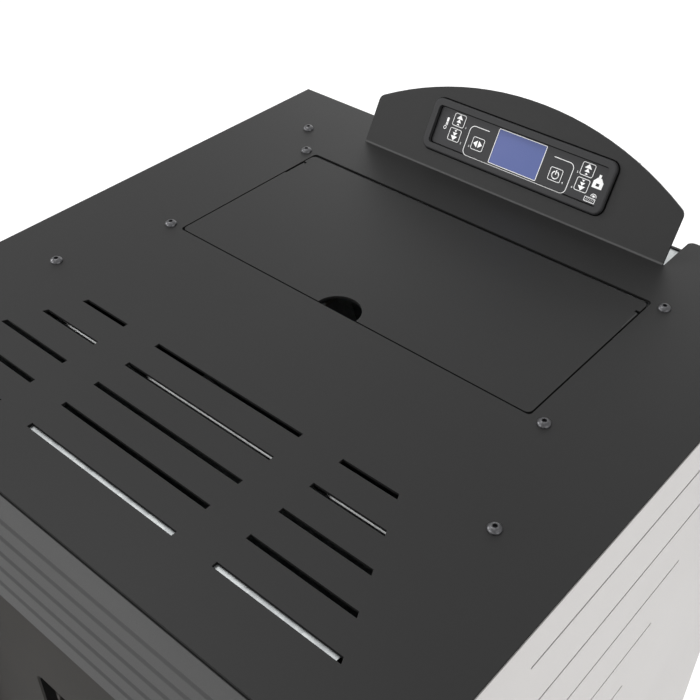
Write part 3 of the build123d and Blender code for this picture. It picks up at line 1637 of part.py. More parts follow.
with BuildPart() as door_hinge_brackets:
    pin_y = (door_face + door_back) / 2
    for lug_z, pin_to, plate_z in (
        (door_span[1] + 1.0, door_span[1] - 20, (door_span[1] + 1.0, door_span[1] + 34)),
        (door_span[0] - 4.0, door_span[0] + 20, (door_span[0] - 34, door_span[0] - 1.0)),
    ):
        with BuildSketch(level(lug_z)):
            area((hinge_x - 5, pin_y), (hinge_x + 5, front_frame_y))
            with Locations((hinge_x, pin_y)):
                Circle(5)
        extrude(amount=3)
        slab(
            (hinge_x - 9, front_frame_y - 3, plate_z[0]),
            (hinge_x + 22, front_frame_y, plate_z[1]),
        )
        pin_low, pin_high = sorted((lug_z + 1, pin_to))
        with BuildSketch(level(pin_low)):
            with Locations((hinge_x, pin_y)):
                Circle(hinge_pin_radius)
        extrude(amount=pin_high - pin_low)
door_hinge_brackets.part.label = "door_hinge_brackets"
export_step(door_hinge_brackets.part, "parts/door_hinge_brackets.step")

# ---------------------------------------------------------------- handle and latch
lever_face = front_y - handle_reach
tongue_y = (firebox_face - 1.5, firebox_face + 2.5)
lever_thickness = 10.0
with BuildPart() as door_handle:
    with BuildSketch(upright(lever_face + lever_thickness)):
        with Locations((latch_x, latch_z - lever_length / 2)):
            SlotOverall(lever_length + 20, 18, rotation=90)
    extrude(amount=lever_thickness)
    fillet(door_handle.faces().sort_by(Axis.Y)[0].edges(), 3)
    with BuildSketch(upright(door_face - running_gap)):
        with Locations((latch_x, latch_z)):
            Circle(12)
    extrude(amount=3)
    with BuildSketch(upright(door_face - 3)):
        with Locations((latch_x, latch_z)):
            Circle(8)
    extrude(amount=door_face - 3 - lever_face - lever_thickness + 1)
    with BuildSketch(upright(firebox_face + 3)):
        with Locations((latch_x, latch_z)):
            Circle(spindle_radius)
    extrude(amount=firebox_face + 3 - door_face + 1)
    # The tongue on the spindle's inner end is a separate plate.
    with BuildSketch(upright(tongue_y[1])) as tongue:
        with Locations((latch_x, latch_z)):
            Circle(11)
        area((latch_x - 8, latch_z), (latch_x + 8, latch_z + 33))
    extrude(amount=tongue_y[1] - tongue_y[0])
door_handle.part.label = "door_handle"
export_step(door_handle.part, "parts/door_handle.step")

with BuildPart() as latch_keeper:
    with BuildSketch(level(latch_z - 14)):
        with BuildLine():
            Polyline(
                (latch_x + 16, tongue_y[0] - 3.5),
                (latch_x + 38, tongue_y[0] - 3.5),
                (latch_x + 38, front_frame_y),
                (latch_x + 20, front_frame_y),
                (latch_x + 20, front_frame_y - 2),
                (latch_x + 36, front_frame_y - 2),
                (latch_x + 36, tongue_y[0] - 1.5),
                (latch_x + 16, tongue_y[0] - 1.5),
                close=True,
            )
        make_face()
    extrude(amount=28)
latch_keeper.part.label = "latch_keeper"
export_step(latch_keeper.part, "parts/latch_keeper.step")

# ---------------------------------------------------------------- electrics
rocker_x = inlet_x - 16
rocker_axis_y = rear_y - 2.0
rocker_pin = 1.5
with BuildPart() as power_inlet:
    with BuildSketch(upright(rear_y + 3)):
        with Locations((inlet_x, inlet_z)):
            RectangleRounded(72, 36, 3)
    extrude(amount=3)
    with BuildSketch(upright(rear_y)):
        with Locations((inlet_x, inlet_z)):
            Rectangle(58, 26)
    extrude(amount=26)
    with BuildSketch(upright(rear_y + 4)):
        with Locations((inlet_x + 13, inlet_z)):
            RectangleRounded(25, 17, 3)
    extrude(amount=20, mode=Mode.SUBTRACT)
    with BuildSketch(upright(rear_y - 6)):
        with Locations(
            (inlet_x + 6, inlet_z - 2), (inlet_x + 13, inlet_z + 2), (inlet_x + 20, inlet_z - 2)
        ):
            Rectangle(2, 5)
    extrude(amount=12)
    with BuildSketch(upright(rear_y + 4)):
        with Locations((rocker_x, inlet_z)):
            Rectangle(14.6, 20.6)
    extrude(amount=14, mode=Mode.SUBTRACT)
    with BuildSketch(sideways(rocker_x - 9)):
        with Locations((rocker_axis_y, inlet_z)):
            Circle(rocker_pin + shaft_clearance)
    extrude(amount=18, mode=Mode.SUBTRACT)
power_inlet.part.label = "power_inlet"
export_step(power_inlet.part, "parts/power_inlet.step")

rocker_angle = 8.0
rocker_reach = 8.6
rocker_face = rocker_axis_y + 3.5
with BuildPart() as main_switch:
    with BuildSketch(sideways(rocker_x - 7)):
        with BuildLine():
            rise = rocker_reach * tan(radians(2 * rocker_angle))
            Polyline(
                (rocker_axis_y, inlet_z - 5),
                (rocker_face, inlet_z - rocker_reach),
                (rocker_face, inlet_z),
                (rocker_face + rise, inlet_z + rocker_reach),
                (rocker_axis_y, inlet_z + 7),
                (rocker_axis_y - 6, inlet_z + 3),
                (rocker_axis_y - 6, inlet_z - 3),
                close=True,
            )
        make_face()
    extrude(amount=14)
    with BuildSketch(sideways(rocker_x - 8.8)):
        with Locations((rocker_axis_y, inlet_z)):
            Circle(rocker_pin)
    extrude(amount=17.6)
main_switch.part.label = "main_switch"
export_step(main_switch.part, "parts/main_switch.step")

board_face = half_width - 24
board_rear = rear_y - 35
with BuildPart() as control_board:
    slab((board_face, board_rear - 150, 300), (board_face + 1.6, board_rear, 470))
    for from_rear, z, size_y, size_z, size_x in (
        (130, 330, 24, 20, 16),
        (130, 360, 24, 20, 16),
        (130, 390, 24, 20, 16),
        (80, 430, 40, 36, 26),
        (40, 340, 30, 30, 8),
        (20, 400, 12, 60, 12),
        (80, 312, 80, 10, 12),
    ):
        y = board_rear - from_rear
        slab(
            (board_face - size_x, y - size_y / 2, z - size_z / 2),
            (board_face, y + size_y / 2, z + size_z / 2),
        )
    # Posts hold the board off the side panel.
    with BuildSketch(sideways(board_face + 1.6)):
        with Locations(*[(board_rear - y, z) for y in (10, 140) for z in (310, 460)]):
            Circle(4)
    extrude(amount=skin_inner - board_face - 1.6)
control_board.part.label = "control_board"
export_step(control_board.part, "parts/control_board.step")
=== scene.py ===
import json
from math import radians

import bpy
from mathutils import Matrix, Vector


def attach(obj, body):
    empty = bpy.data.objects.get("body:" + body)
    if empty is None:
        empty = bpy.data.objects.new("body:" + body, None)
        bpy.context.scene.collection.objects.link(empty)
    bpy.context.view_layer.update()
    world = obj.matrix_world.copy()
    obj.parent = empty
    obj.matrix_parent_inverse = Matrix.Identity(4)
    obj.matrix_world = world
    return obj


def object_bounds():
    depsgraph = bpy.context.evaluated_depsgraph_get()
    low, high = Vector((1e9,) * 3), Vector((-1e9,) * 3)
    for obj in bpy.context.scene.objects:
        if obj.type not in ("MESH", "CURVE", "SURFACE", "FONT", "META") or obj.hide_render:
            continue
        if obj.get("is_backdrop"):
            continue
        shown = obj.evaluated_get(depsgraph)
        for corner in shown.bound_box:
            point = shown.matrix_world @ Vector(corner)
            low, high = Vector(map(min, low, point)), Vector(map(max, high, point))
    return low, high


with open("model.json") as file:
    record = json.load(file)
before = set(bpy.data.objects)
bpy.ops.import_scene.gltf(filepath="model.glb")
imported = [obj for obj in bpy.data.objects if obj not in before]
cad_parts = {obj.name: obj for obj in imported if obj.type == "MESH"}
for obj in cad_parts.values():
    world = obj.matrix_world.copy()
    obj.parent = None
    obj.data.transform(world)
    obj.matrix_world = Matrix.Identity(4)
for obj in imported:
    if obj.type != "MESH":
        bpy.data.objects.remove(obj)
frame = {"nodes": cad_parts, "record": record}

nodes = frame["nodes"]
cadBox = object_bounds()
print("frame loaded:", len(nodes), "nodes")

mm = 0.001


# small helpers

def deselectAll():
    if bpy.context.object and bpy.context.object.mode != "OBJECT":
        bpy.ops.object.mode_set(mode="OBJECT")
    bpy.ops.object.select_all(action="DESELECT")


def editMode(obj, kind="FACE"):
    deselectAll()
    bpy.context.view_layer.objects.active = obj
    obj.select_set(True)
    bpy.ops.object.mode_set(mode="EDIT")
    bpy.ops.mesh.select_mode(type=kind)
    bpy.ops.mesh.select_all(action="SELECT")


def objectMode():
    bpy.ops.object.mode_set(mode="OBJECT")


def pickFaces(obj, wanted):
    # selects the faces whose centre and normal pass, then goes to edit mode
    objectMode()
    for face in obj.data.polygons:
        face.select = bool(wanted(face.center / mm, face.normal))
    bpy.ops.object.mode_set(mode="EDIT")


def growUp(height):
    # extrudes the selected faces straight up, in mm
    bpy.ops.mesh.extrude_region_move(TRANSFORM_OT_translate={"value": (0, 0, height * mm)})


def closeMesh(rounding=0):
    # rounds every edge if asked, turns the normals outwards and leaves edit mode
    bpy.ops.mesh.select_all(action="SELECT")
    if rounding:
        bpy.ops.mesh.bevel(offset=rounding * mm, segments=2, affect="EDGES")
        bpy.ops.mesh.select_all(action="SELECT")
    bpy.ops.mesh.normals_make_consistent(inside=False)
    objectMode()


def shift(obj, x, y, z):
    # moves the mesh itself, in mm, so that the object stays at the origin
    obj.data.transform(Matrix.Translation((x * mm, y * mm, z * mm)))


def turnAbout(obj, degrees, axis):
    # turns the mesh itself about the origin
    obj.data.transform(Matrix.Rotation(radians(degrees), 4, axis))


def joinAll(objects, name):
    deselectAll()
    for obj in objects:
        obj.select_set(True)
    bpy.context.view_layer.objects.active = objects[0]
    if len(objects) > 1:
        bpy.ops.object.join()
    objects[0].name = name
    return objects[0]


def copyOf(obj, name):
    # a copy with a mesh of its own
    twin = obj.copy()
    twin.data = obj.data.copy()
    twin.name = name
    bpy.context.scene.collection.objects.link(twin)
    return twin


def colour(hexText):
    # sRGB hex to linear
    values = [int(hexText[i:i + 2], 16) / 255 for i in (0, 2, 4)]
    return [v / 12.92 if v <= 0.04045 else ((v + 0.055) / 1.055) ** 2.4 for v in values] + [1]


def addNode(tree, kind, inputs=None, feeds=None, **settings):
    # inputs holds a value or another node's output for each socket, feeds is (node, socket)
    made = tree.nodes.new(kind)
    for key, value in settings.items():
        setattr(made, key, value)
    for socket, value in (inputs or {}).items():
        if isinstance(value, bpy.types.NodeSocket):
            tree.links.new(value, made.inputs[socket])
        else:
            made.inputs[socket].default_value = value
    if feeds:
        tree.links.new(made.outputs[0], feeds[0].inputs[feeds[1]])
    return made


def rampColours(ramp, stops):
    # stops are (place, hex)
    elements = ramp.color_ramp.elements
    while len(elements) < len(stops):
        elements.new(0.5)
    for element, (place, hexText) in zip(elements, stops):
        element.position = place
        element.color = colour(hexText)


def newMaterial(name):
    material = bpy.data.materials.new(name)
    material.use_nodes = True
    tree = material.node_tree
    return material, tree, tree.nodes["Principled BSDF"]


# camera at the photo's place
cameraPlace = {
    "place": (0.392262, -0.452013, 1.448776),
    "tilt": 50.479,
    "turn": 41.072,
    "lens": 54.59,
    "sensor": 36,
    "near": 0.01,
}
cameraData = bpy.data.cameras.new("photoCamera")
cameraData.lens = cameraPlace["lens"]
cameraData.sensor_width = cameraPlace["sensor"]
cameraData.clip_start = cameraPlace["near"]
camera = bpy.data.objects.new("photoCamera", cameraData)
camera.location = cameraPlace["place"]
camera.rotation_euler = (radians(cameraPlace["tilt"]), 0, radians(cameraPlace["turn"]))
bpy.context.scene.collection.objects.link(camera)
bpy.context.scene.camera = camera
bpy.context.scene.view_settings.view_transform = "Standard"
print("camera in place")

# studio: pale floor, white surroundings and soft lamps
studio = {
    "worldLevel": 0.62,
    "floor": 14.0,
    "floorColour": "D2D2D2",
    # emission near the stove and far from it, and the distances between which it rises
    "floorGlow": (0.42, 0.66),
    "floorFade": (1.2, 6.0),
    "aim": (0, -0.05, 0.75),
    "lamps": {
        # place, size, watts
        "lowLeft": ((-2.6, -0.86, 2.05), 0.7, 24),
        "softTop": ((-0.3, 0.6, 3.4), 2.4, 10),
        "bendLight": ((-1.14, 0.0, 3.22), 0.7, 16),
        "softRight": ((3.2, -0.7, 1.7), 2.2, 28),
        "softFrontLeft": ((-1.6, -2.8, 2.35), 1.5, 43),
        "softFront": ((0.6, -3.4, 1.2), 2.2, 8),
        "softBack": ((-1.6, 3.2, 1.6), 2.2, 25),
    },
}


def pureView(tree):
    # 1 where the camera looks straight, by mirror or through glass, else 0
    rays = addNode(tree, "ShaderNodeLightPath")
    first = addNode(tree, "ShaderNodeMath", {
        0: rays.outputs["Is Camera Ray"], 1: rays.outputs["Is Glossy Ray"],
    }, operation="MAXIMUM")
    both = addNode(tree, "ShaderNodeMath", {
        0: first.outputs[0], 1: rays.outputs["Is Transmission Ray"],
    }, operation="MAXIMUM")
    return both.outputs[0]


world = bpy.data.worlds.new("studioWorld")
bpy.context.scene.world = world
world.use_nodes = True
background = world.node_tree.nodes["Background"]
background.inputs["Color"].default_value = (1, 1, 1, 1)
addNode(world.node_tree, "ShaderNodeMapRange", {
    "Value": pureView(world.node_tree), "To Min": studio["worldLevel"], "To Max": 1.0,
}, feeds=(background, "Strength"))

deselectAll()
bpy.ops.mesh.primitive_plane_add(size=studio["floor"])
studioFloor = bpy.context.object
studioFloor.name = "studioFloor"
floorMaterial, floorTree, floorShader = newMaterial("paleFloor")
floorShader.inputs["Base Color"].default_value = colour(studio["floorColour"])
floorShader.inputs["Roughness"].default_value = 0.9
floorShader.inputs["Specular IOR Level"].default_value = 0.1
floorShader.inputs["Emission Color"].default_value = (1, 1, 1, 1)
# far from the lamps the glow makes up for their light, so the floor runs into the background
floorPlace = addNode(floorTree, "ShaderNodeTexCoord").outputs["Object"]
floorReach = addNode(floorTree, "ShaderNodeVectorMath", {0: floorPlace}, operation="LENGTH")
floorFade = addNode(floorTree, "ShaderNodeMapRange", {
    "Value": floorReach.outputs["Value"],
    "From Min": studio["floorFade"][0], "From Max": studio["floorFade"][1],
    "To Min": studio["floorGlow"][0], "To Max": studio["floorGlow"][1],
})
addNode(floorTree, "ShaderNodeMath", {
    0: pureView(floorTree), 1: floorFade.outputs[0],
}, feeds=(floorShader, "Emission Strength"), operation="MULTIPLY")
studioFloor.data.materials.append(floorMaterial)
studioFloor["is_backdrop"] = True

for lampName, (place, size, watts) in studio["lamps"].items():
    lampData = bpy.data.lights.new(lampName, "AREA")
    lampData.size = size
    lampData.energy = watts
    lamp = bpy.data.objects.new(lampName, lampData)
    lamp.location = place
    aim = Vector(studio["aim"]) - Vector(place)
    lamp.rotation_euler = aim.to_track_quat("-Z", "Y").to_euler()
    bpy.context.scene.collection.objects.link(lamp)
print("studio lit")


# finishes, each started from the real material

def powderCoat(name, base, darker, grainMm, roughness, bump, gloss=0.5, edgeShadeAndBendHighlight=None):
    # powder coat, cured in an oven: grains melt into a fine even orange peel with a soft sheen
    material, tree, shader = newMaterial(name)
    where = addNode(tree, "ShaderNodeTexCoord")
    place = where.outputs["Object"]
    grain = addNode(tree, "ShaderNodeTexNoise", {
        "Vector": place, "Scale": 1 / (grainMm * mm), "Detail": 3.0, "Roughness": 0.6,
    })
    cloud = addNode(tree, "ShaderNodeTexNoise", {"Vector": place, "Scale": 7.0, "Detail": 2.0})
    ramp = addNode(tree, "ShaderNodeValToRGB", {"Fac": cloud.outputs[0]}, feeds=(shader, "Base Color"))
    rampColours(ramp, [(0.3, darker), (0.7, base)])
    rough = addNode(tree, "ShaderNodeMapRange", {
        "Value": grain.outputs[0], "From Min": 0.3, "From Max": 0.7,
        "To Min": roughness - 0.05, "To Max": roughness + 0.05,
    }, feeds=(shader, "Roughness"))
    if edgeShadeAndBendHighlight:
        # the coat turns matt over cut edges, whose colour is a painted shade darker than the coat, and the
        # bends get a painted highlight, lighter along the fold
        facing = addNode(tree, "ShaderNodeSeparateXYZ", {"Vector": where.outputs["Normal"]})
        level = addNode(tree, "ShaderNodeMath", {0: facing.outputs["Z"]}, operation="ABSOLUTE")
        upright = addNode(tree, "ShaderNodeMapRange", {
            "Value": level.outputs[0], "From Min": 0.1, "From Max": 0.3, "To Min": 1.0, "To Max": 0.0,
        })
        # painted highlight: a band along the bends, where the faces lean between flat and upright
        bendHighlightMask = addNode(tree, "ShaderNodeValToRGB", {"Fac": level.outputs[0]})
        rampColours(bendHighlightMask, [(0.55, "000000"), (0.66, "FFFFFF"), (0.9, "FFFFFF"), (0.98, "000000")])
        addNode(tree, "ShaderNodeMath", {
            0: upright.outputs[0], 1: edgeShadeAndBendHighlight["edgeRoughness"] - roughness, 2: rough.outputs[0],
        }, feeds=(shader, "Roughness"), operation="MULTIPLY_ADD")
        bendHighlighted = addNode(tree, "ShaderNodeMixRGB", {
            "Fac": bendHighlightMask.outputs[0], "Color1": ramp.outputs[0], "Color2": colour(edgeShadeAndBendHighlight["bendHighlight"]),
        })
        # painted shade: upright cut edges take a darker colour
        addNode(tree, "ShaderNodeMixRGB", {
            "Fac": upright.outputs[0], "Color1": bendHighlighted.outputs[0], "Color2": colour(edgeShadeAndBendHighlight["edge"]),
        }, feeds=(shader, "Base Color"))
    addNode(tree, "ShaderNodeBump", {
        "Height": grain.outputs[0], "Strength": bump, "Distance": 0.05 * mm,
    }, feeds=(shader, "Normal"))
    shader.inputs["Specular IOR Level"].default_value = gloss
    return material


def heatPaint(name, base, darker, roughness):
    # sprayed silicone stove paint: dead matt, dusty by the millimetre and faintly uneven in tone
    material, tree, shader = newMaterial(name)
    place = addNode(tree, "ShaderNodeTexCoord").outputs["Object"]
    mist = addNode(tree, "ShaderNodeTexNoise", {
        "Vector": place, "Scale": 1 / (1.0 * mm), "Detail": 4.0, "Roughness": 0.7,
    })
    cloud = addNode(tree, "ShaderNodeTexNoise", {"Vector": place, "Scale": 12.0, "Detail": 4.0})
    ramp = addNode(tree, "ShaderNodeValToRGB", {"Fac": cloud.outputs[0]}, feeds=(shader, "Base Color"))
    rampColours(ramp, [(0.3, darker), (0.7, base)])
    shader.inputs["Specular IOR Level"].default_value = 0.08  # the matting dust breaks the shine
    addNode(tree, "ShaderNodeMapRange", {
        "Value": mist.outputs[0], "To Min": roughness - 0.1, "To Max": roughness + 0.1,
    }, feeds=(shader, "Roughness"))
    addNode(tree, "ShaderNodeBump", {
        "Height": mist.outputs[0], "Strength": 0.3, "Distance": 0.08 * mm,
    }, feeds=(shader, "Normal"))
    return material


def galvanisedSheet():
    # hot-dip galvanised steel: the zinc freezes in flat spangles that each catch the light
    material, tree, shader = newMaterial("galvanisedSteel")
    place = addNode(tree, "ShaderNodeTexCoord").outputs["Object"]
    spangle = addNode(tree, "ShaderNodeTexVoronoi", {"Vector": place, "Scale": 1 / (5 * mm)})
    split = addNode(tree, "ShaderNodeSeparateColor", {"Color": spangle.outputs["Color"]})
    ramp = addNode(tree, "ShaderNodeValToRGB", {"Fac": split.outputs[0]}, feeds=(shader, "Base Color"))
    rampColours(ramp, [(0.0, "A2A5A6"), (0.5, "ACAFB0"), (1.0, "B6B9B9")])
    addNode(tree, "ShaderNodeMapRange", {
        "Value": split.outputs[1], "To Min": 0.34, "To Max": 0.5,
    }, feeds=(shader, "Roughness"))
    shader.inputs["Metallic"].default_value = 0.85
    fine = addNode(tree, "ShaderNodeTexNoise", {
        "Vector": place, "Scale": 1 / (0.8 * mm), "Detail": 2.0,
    })
    addNode(tree, "ShaderNodeBump", {
        "Height": fine.outputs[0], "Strength": 0.15, "Distance": 0.05 * mm,
    }, feeds=(shader, "Normal"))
    return material


def castIron(name, base, darker, roughness):
    # sand-cast iron: the sand's grain stays on the skin, matt and slightly pitted
    material, tree, shader = newMaterial(name)
    place = addNode(tree, "ShaderNodeTexCoord").outputs["Object"]
    sand = addNode(tree, "ShaderNodeTexNoise", {
        "Vector": place, "Scale": 1 / (1.2 * mm), "Detail": 5.0, "Roughness": 0.7,
    })
    patch = addNode(tree, "ShaderNodeTexNoise", {"Vector": place, "Scale": 25.0, "Detail": 3.0})
    ramp = addNode(tree, "ShaderNodeValToRGB", {"Fac": patch.outputs[0]}, feeds=(shader, "Base Color"))
    rampColours(ramp, [(0.3, darker), (0.7, base)])
    addNode(tree, "ShaderNodeMapRange", {
        "Value": sand.outputs[0], "To Min": roughness - 0.1, "To Max": roughness + 0.1,
    }, feeds=(shader, "Roughness"))
    shader.inputs["Metallic"].default_value = 0.3
    addNode(tree, "ShaderNodeBump", {
        "Height": sand.outputs[0], "Strength": 0.6, "Distance": 0.25 * mm,
    }, feeds=(shader, "Normal"))
    return material


def wornMetal(name, base, darker, roughness, scratchScale, metallic=1.0):
    # rolled, brushed or blackened metal: scratchScale counts the marks per metre on each axis,
    # 2000 for a brush's scratches 0.5 mm apart, and 300 to 900 for an even grain of 1 to 3 mm,
    # which is coarser than the real one so that it shows
    material, tree, shader = newMaterial(name)
    place = addNode(tree, "ShaderNodeTexCoord").outputs["Object"]
    stretch = addNode(tree, "ShaderNodeMapping", {"Vector": place, "Scale": scratchScale})
    brush = addNode(tree, "ShaderNodeTexNoise", {
        "Vector": stretch.outputs[0], "Scale": 1.0, "Detail": 4.0,
    })
    ramp = addNode(tree, "ShaderNodeValToRGB", {"Fac": brush.outputs[0]}, feeds=(shader, "Base Color"))
    rampColours(ramp, [(0.3, darker), (0.7, base)])
    addNode(tree, "ShaderNodeMapRange", {
        "Value": brush.outputs[0], "From Min": 0.3, "From Max": 0.7,
        "To Min": roughness - 0.08, "To Max": roughness + 0.08,
    }, feeds=(shader, "Roughness"))
    shader.inputs["Metallic"].default_value = metallic
    addNode(tree, "ShaderNodeBump", {
        "Height": brush.outputs[0], "Strength": 0.1, "Distance": 0.03 * mm,
    }, feeds=(shader, "Normal"))
    return material


def moulded(name, base, darker, grainMm, roughness, bump=0.25, gloss=0.5):
    # moulded plastic or rubber: the mould's spark-eroded grain gives a fine even texture
    material, tree, shader = newMaterial(name)
    place = addNode(tree, "ShaderNodeTexCoord").outputs["Object"]
    grain = addNode(tree, "ShaderNodeTexNoise", {
        "Vector": place, "Scale": 1 / (grainMm * mm), "Detail": 2.0,
    })
    ramp = addNode(tree, "ShaderNodeValToRGB", {"Fac": grain.outputs[0]}, feeds=(shader, "Base Color"))
    rampColours(ramp, [(0.3, darker), (0.7, base)])
    addNode(tree, "ShaderNodeMapRange", {
        "Value": grain.outputs[0], "To Min": roughness - 0.06, "To Max": roughness + 0.06,
    }, feeds=(shader, "Roughness"))
    shader.inputs["IOR"].default_value = 1.53
    shader.inputs["Specular IOR Level"].default_value = gloss
    addNode(tree, "ShaderNodeBump", {
        "Height": grain.outputs[0], "Strength": bump, "Distance": 0.05 * mm,
    }, feeds=(shader, "Normal"))
    return material


def displayCover():
    # liquid crystal display, lit from behind: a smooth cover over an even blue field
    material, tree, shader = newMaterial("backlitDisplay")
    place = addNode(tree, "ShaderNodeTexCoord").outputs["Object"]
    field = addNode(tree, "ShaderNodeTexNoise", {"Vector": place, "Scale": 25.0, "Detail": 1.0})
    ramp = addNode(tree, "ShaderNodeValToRGB", {"Fac": field.outputs[0]}, feeds=(shader, "Base Color"))
    rampColours(ramp, [(0.3, "505D92"), (0.7, "576196")])
    shader.inputs["Roughness"].default_value = 0.25
    shader.inputs["Specular IOR Level"].default_value = 0.1  # its matt surface scatters the lamps
    return material


def ceramicGlass():
    # glass ceramic, rolled: faintly brown, smooth, and clear enough to show the fire
    material, tree, shader = newMaterial("rolledGlassCeramic")
    place = addNode(tree, "ShaderNodeTexCoord").outputs["Object"]
    haze = addNode(tree, "ShaderNodeTexNoise", {"Vector": place, "Scale": 14.0, "Detail": 3.0})
    ramp = addNode(tree, "ShaderNodeValToRGB", {"Fac": haze.outputs[0]}, feeds=(shader, "Base Color"))
    rampColours(ramp, [(0.3, "BDB3A6"), (0.7, "DAD4CB")])
    addNode(tree, "ShaderNodeMapRange", {
        "Value": haze.outputs[0], "To Min": 0.02, "To Max": 0.08,
    }, feeds=(shader, "Roughness"))
    shader.inputs["Transmission Weight"].default_value = 0.98
    shader.inputs["IOR"].default_value = 1.45
    return material


def glassRope():
    # knitted glass-fibre rope, soft and without shine: its strands are drawn about 7 mm apart,
    # twice as wide as real ones, so that they show
    material, tree, shader = newMaterial("knittedGlassRope")
    place = addNode(tree, "ShaderNodeTexCoord").outputs["Object"]
    strands = addNode(tree, "ShaderNodeTexWave", {
        "Vector": place, "Scale": 1 / (20 * mm), "Distortion": 3.0, "Detail": 1.0,
    }, bands_direction="DIAGONAL")
    ramp = addNode(tree, "ShaderNodeValToRGB", {"Fac": strands.outputs[0]}, feeds=(shader, "Base Color"))
    rampColours(ramp, [(0.0, "4E4D4A"), (1.0, "7F7C78")])
    shader.inputs["Roughness"].default_value = 0.9
    addNode(tree, "ShaderNodeBump", {
        "Height": strands.outputs[0], "Strength": 0.7, "Distance": 0.6 * mm,
    }, feeds=(shader, "Normal"))
    return material


def boardLacquer():
    # glass-epoxy circuit board: green lacquer over copper lines
    material, tree, shader = newMaterial("lacqueredCircuitBoard")
    place = addNode(tree, "ShaderNodeTexCoord").outputs["Object"]
    copper = addNode(tree, "ShaderNodeTexVoronoi", {
        "Vector": place, "Scale": 1 / (6 * mm), "Randomness": 0.6,
    }, distance="MANHATTAN")
    ramp = addNode(tree, "ShaderNodeValToRGB", {
        "Fac": copper.outputs["Distance"],
    }, feeds=(shader, "Base Color"))
    rampColours(ramp, [(0.15, "3D7A52"), (0.2, "155033"), (0.6, "114228"), (0.65, "2C6B45")])
    ramp.color_ramp.interpolation = "CONSTANT"
    shader.inputs["Roughness"].default_value = 0.35
    return material


# the plate's cut edges get a painted shade and its bends a painted highlight
platePowder = powderCoat("blackPowderCoat", "1B1B1B", "191919", 0.9, 0.5, 0.12, 0.21, {
    "edge": "0C0C0C", "edgeRoughness": 0.92, "bendHighlight": "3D3D3D",
})
foilTape = wornMetal("aluminiumTape", "D0D1D1", "BDBEBE", 0.2, (300, 300, 300))
rubberFoot = moulded("mouldedRubber", "242424", "1C1C1C", 0.9, 0.7, 0.4)
printWhite = moulded("screenPrintedInk", "F4F4F4", "EFEFEF", 0.4, 0.55, 0.1)
# near-black used as painted shade: along the film's edge and in the door's window opening
shadowBlack = moulded("blackPaintedShade", "0C0C0C", "0A0A0A", 0.4, 0.6, 0.1, 0.05)
# black foam used as painted shadow: round the bezel and in the slit under the plate's front edge
shadowFoam = moulded("blackFoamPaintedShadow", "0E0E0E", "0A0A0A", 0.8, 0.9, 0.5, 0.02)
# black felt as painted shade behind the side panels' slits
shadeFelt = moulded("blackFeltPaintedShade", "161616", "0F0F0F", 0.6, 0.95, 0.6, 0.05)
finishes = {
    "plate_black": platePowder,
    "side_white": powderCoat("palePowderCoat", "D3D0CE", "CFCCCA", 0.9, 0.42, 0.06),
    "fascia_grey": powderCoat("greyPowderCoat", "4A4A4A", "464646", 0.9, 0.55, 0.12, 0.06),
    "door_grey": heatPaint("greyStovePaint", "302E2C", "2C2B29", 0.7),
    "stove_black": heatPaint("blackStovePaint", "29292A", "232324", 0.65),
    "galvanised": galvanisedSheet(),
    "cast_black": castIron("paintedCastIron", "34322F", "24221F", 0.7),
    "stainless": wornMetal("brushedStainlessSteel", "B9B6B2", "A29F9A", 0.32, (60, 2000, 60)),
    "hot_glass": ceramicGlass(),
    "rope": glassRope(),
    "foam": moulded("closedCellFoam", "161616", "101010", 1.0, 0.9, 0.6, 0.1),
    "black_plastic": moulded("mouldedAbs", "343435", "303031", 0.5, 0.5, 0.25, 0.12),
    "panel_film": moulded("printedPolyesterFilm", "2B2B2D", "28282A", 0.35, 0.42, 0.08, 0.15),
    "display_blue": displayCover(),
    "board_green": boardLacquer(),
    "motor_steel": heatPaint("dippedMotorEnamel", "3B3D42", "33353A", 0.45),
    "screw_black": wornMetal("blackOxideSteel", "58585A", "464648", 0.36, (700, 700, 700), 0.9),
    "zinc": wornMetal("zincPlatedSteel", "B7B6AC", "9B9A90", 0.4, (900, 900, 900)),
}
for part in frame["record"]["subparts"]:
    cadNode = nodes[part["node"]]
    cadNode.data.materials.clear()
    cadNode.data.materials.append(finishes[part["material_slot"]])
for footName in [name for name in nodes if name.startswith("foot_")]:
    nodes[footName].data.materials[0] = rubberFoot
print("finishes laid on", len(nodes), "nodes")

# printed symbols, drawn flat in mm on the carrier's own plane and then tilted with it
carrier = {
    "foot": (0, 183.5, 1000.0), "tilt": 61.05,
    "filmTop": 0.3, "keyTop": 0.6, "ink": 0.07, "sunk": 0.02,
}


def flatPlate(width, height, place, corner=0.0, sides=0, turn=0.0):
    # a flat face about its middle, its corners rounded in edit mode
    deselectAll()
    if sides:
        bpy.ops.mesh.primitive_circle_add(vertices=sides, radius=0.5, fill_type="NGON")
    else:
        bpy.ops.mesh.primitive_plane_add(size=1)
    obj = bpy.context.object
    editMode(obj, "VERT")
    bpy.ops.transform.resize(value=(width * mm, height * mm, 1), center_override=(0, 0, 0))
    if corner:
        bpy.ops.mesh.bevel(offset=corner * mm, segments=5, affect="VERTICES")
    objectMode()
    turnAbout(obj, turn, "Z")
    shift(obj, *place, 0)
    return obj


def triangle(width, height, place, turn=0.0):
    # points up before it is turned, and fills 0.866 by 0.75 of the circle that it is cut from
    return flatPlate(width / 0.866, height / 0.75, place, sides=3, turn=turn)


def hollow(obj, line):
    # leaves an outline of that width
    editMode(obj)
    bpy.ops.mesh.inset(thickness=line * mm, use_even_offset=True)
    bpy.ops.mesh.delete(type="FACE")
    objectMode()
    return obj


def cutAway(obj, point, normal):
    # drops what lies on the normal's side of a line
    editMode(obj, "VERT")
    bpy.ops.mesh.bisect(
        plane_co=(point[0] * mm, point[1] * mm, 0), plane_no=(*normal, 0), clear_outer=True,
    )
    objectMode()
    return obj


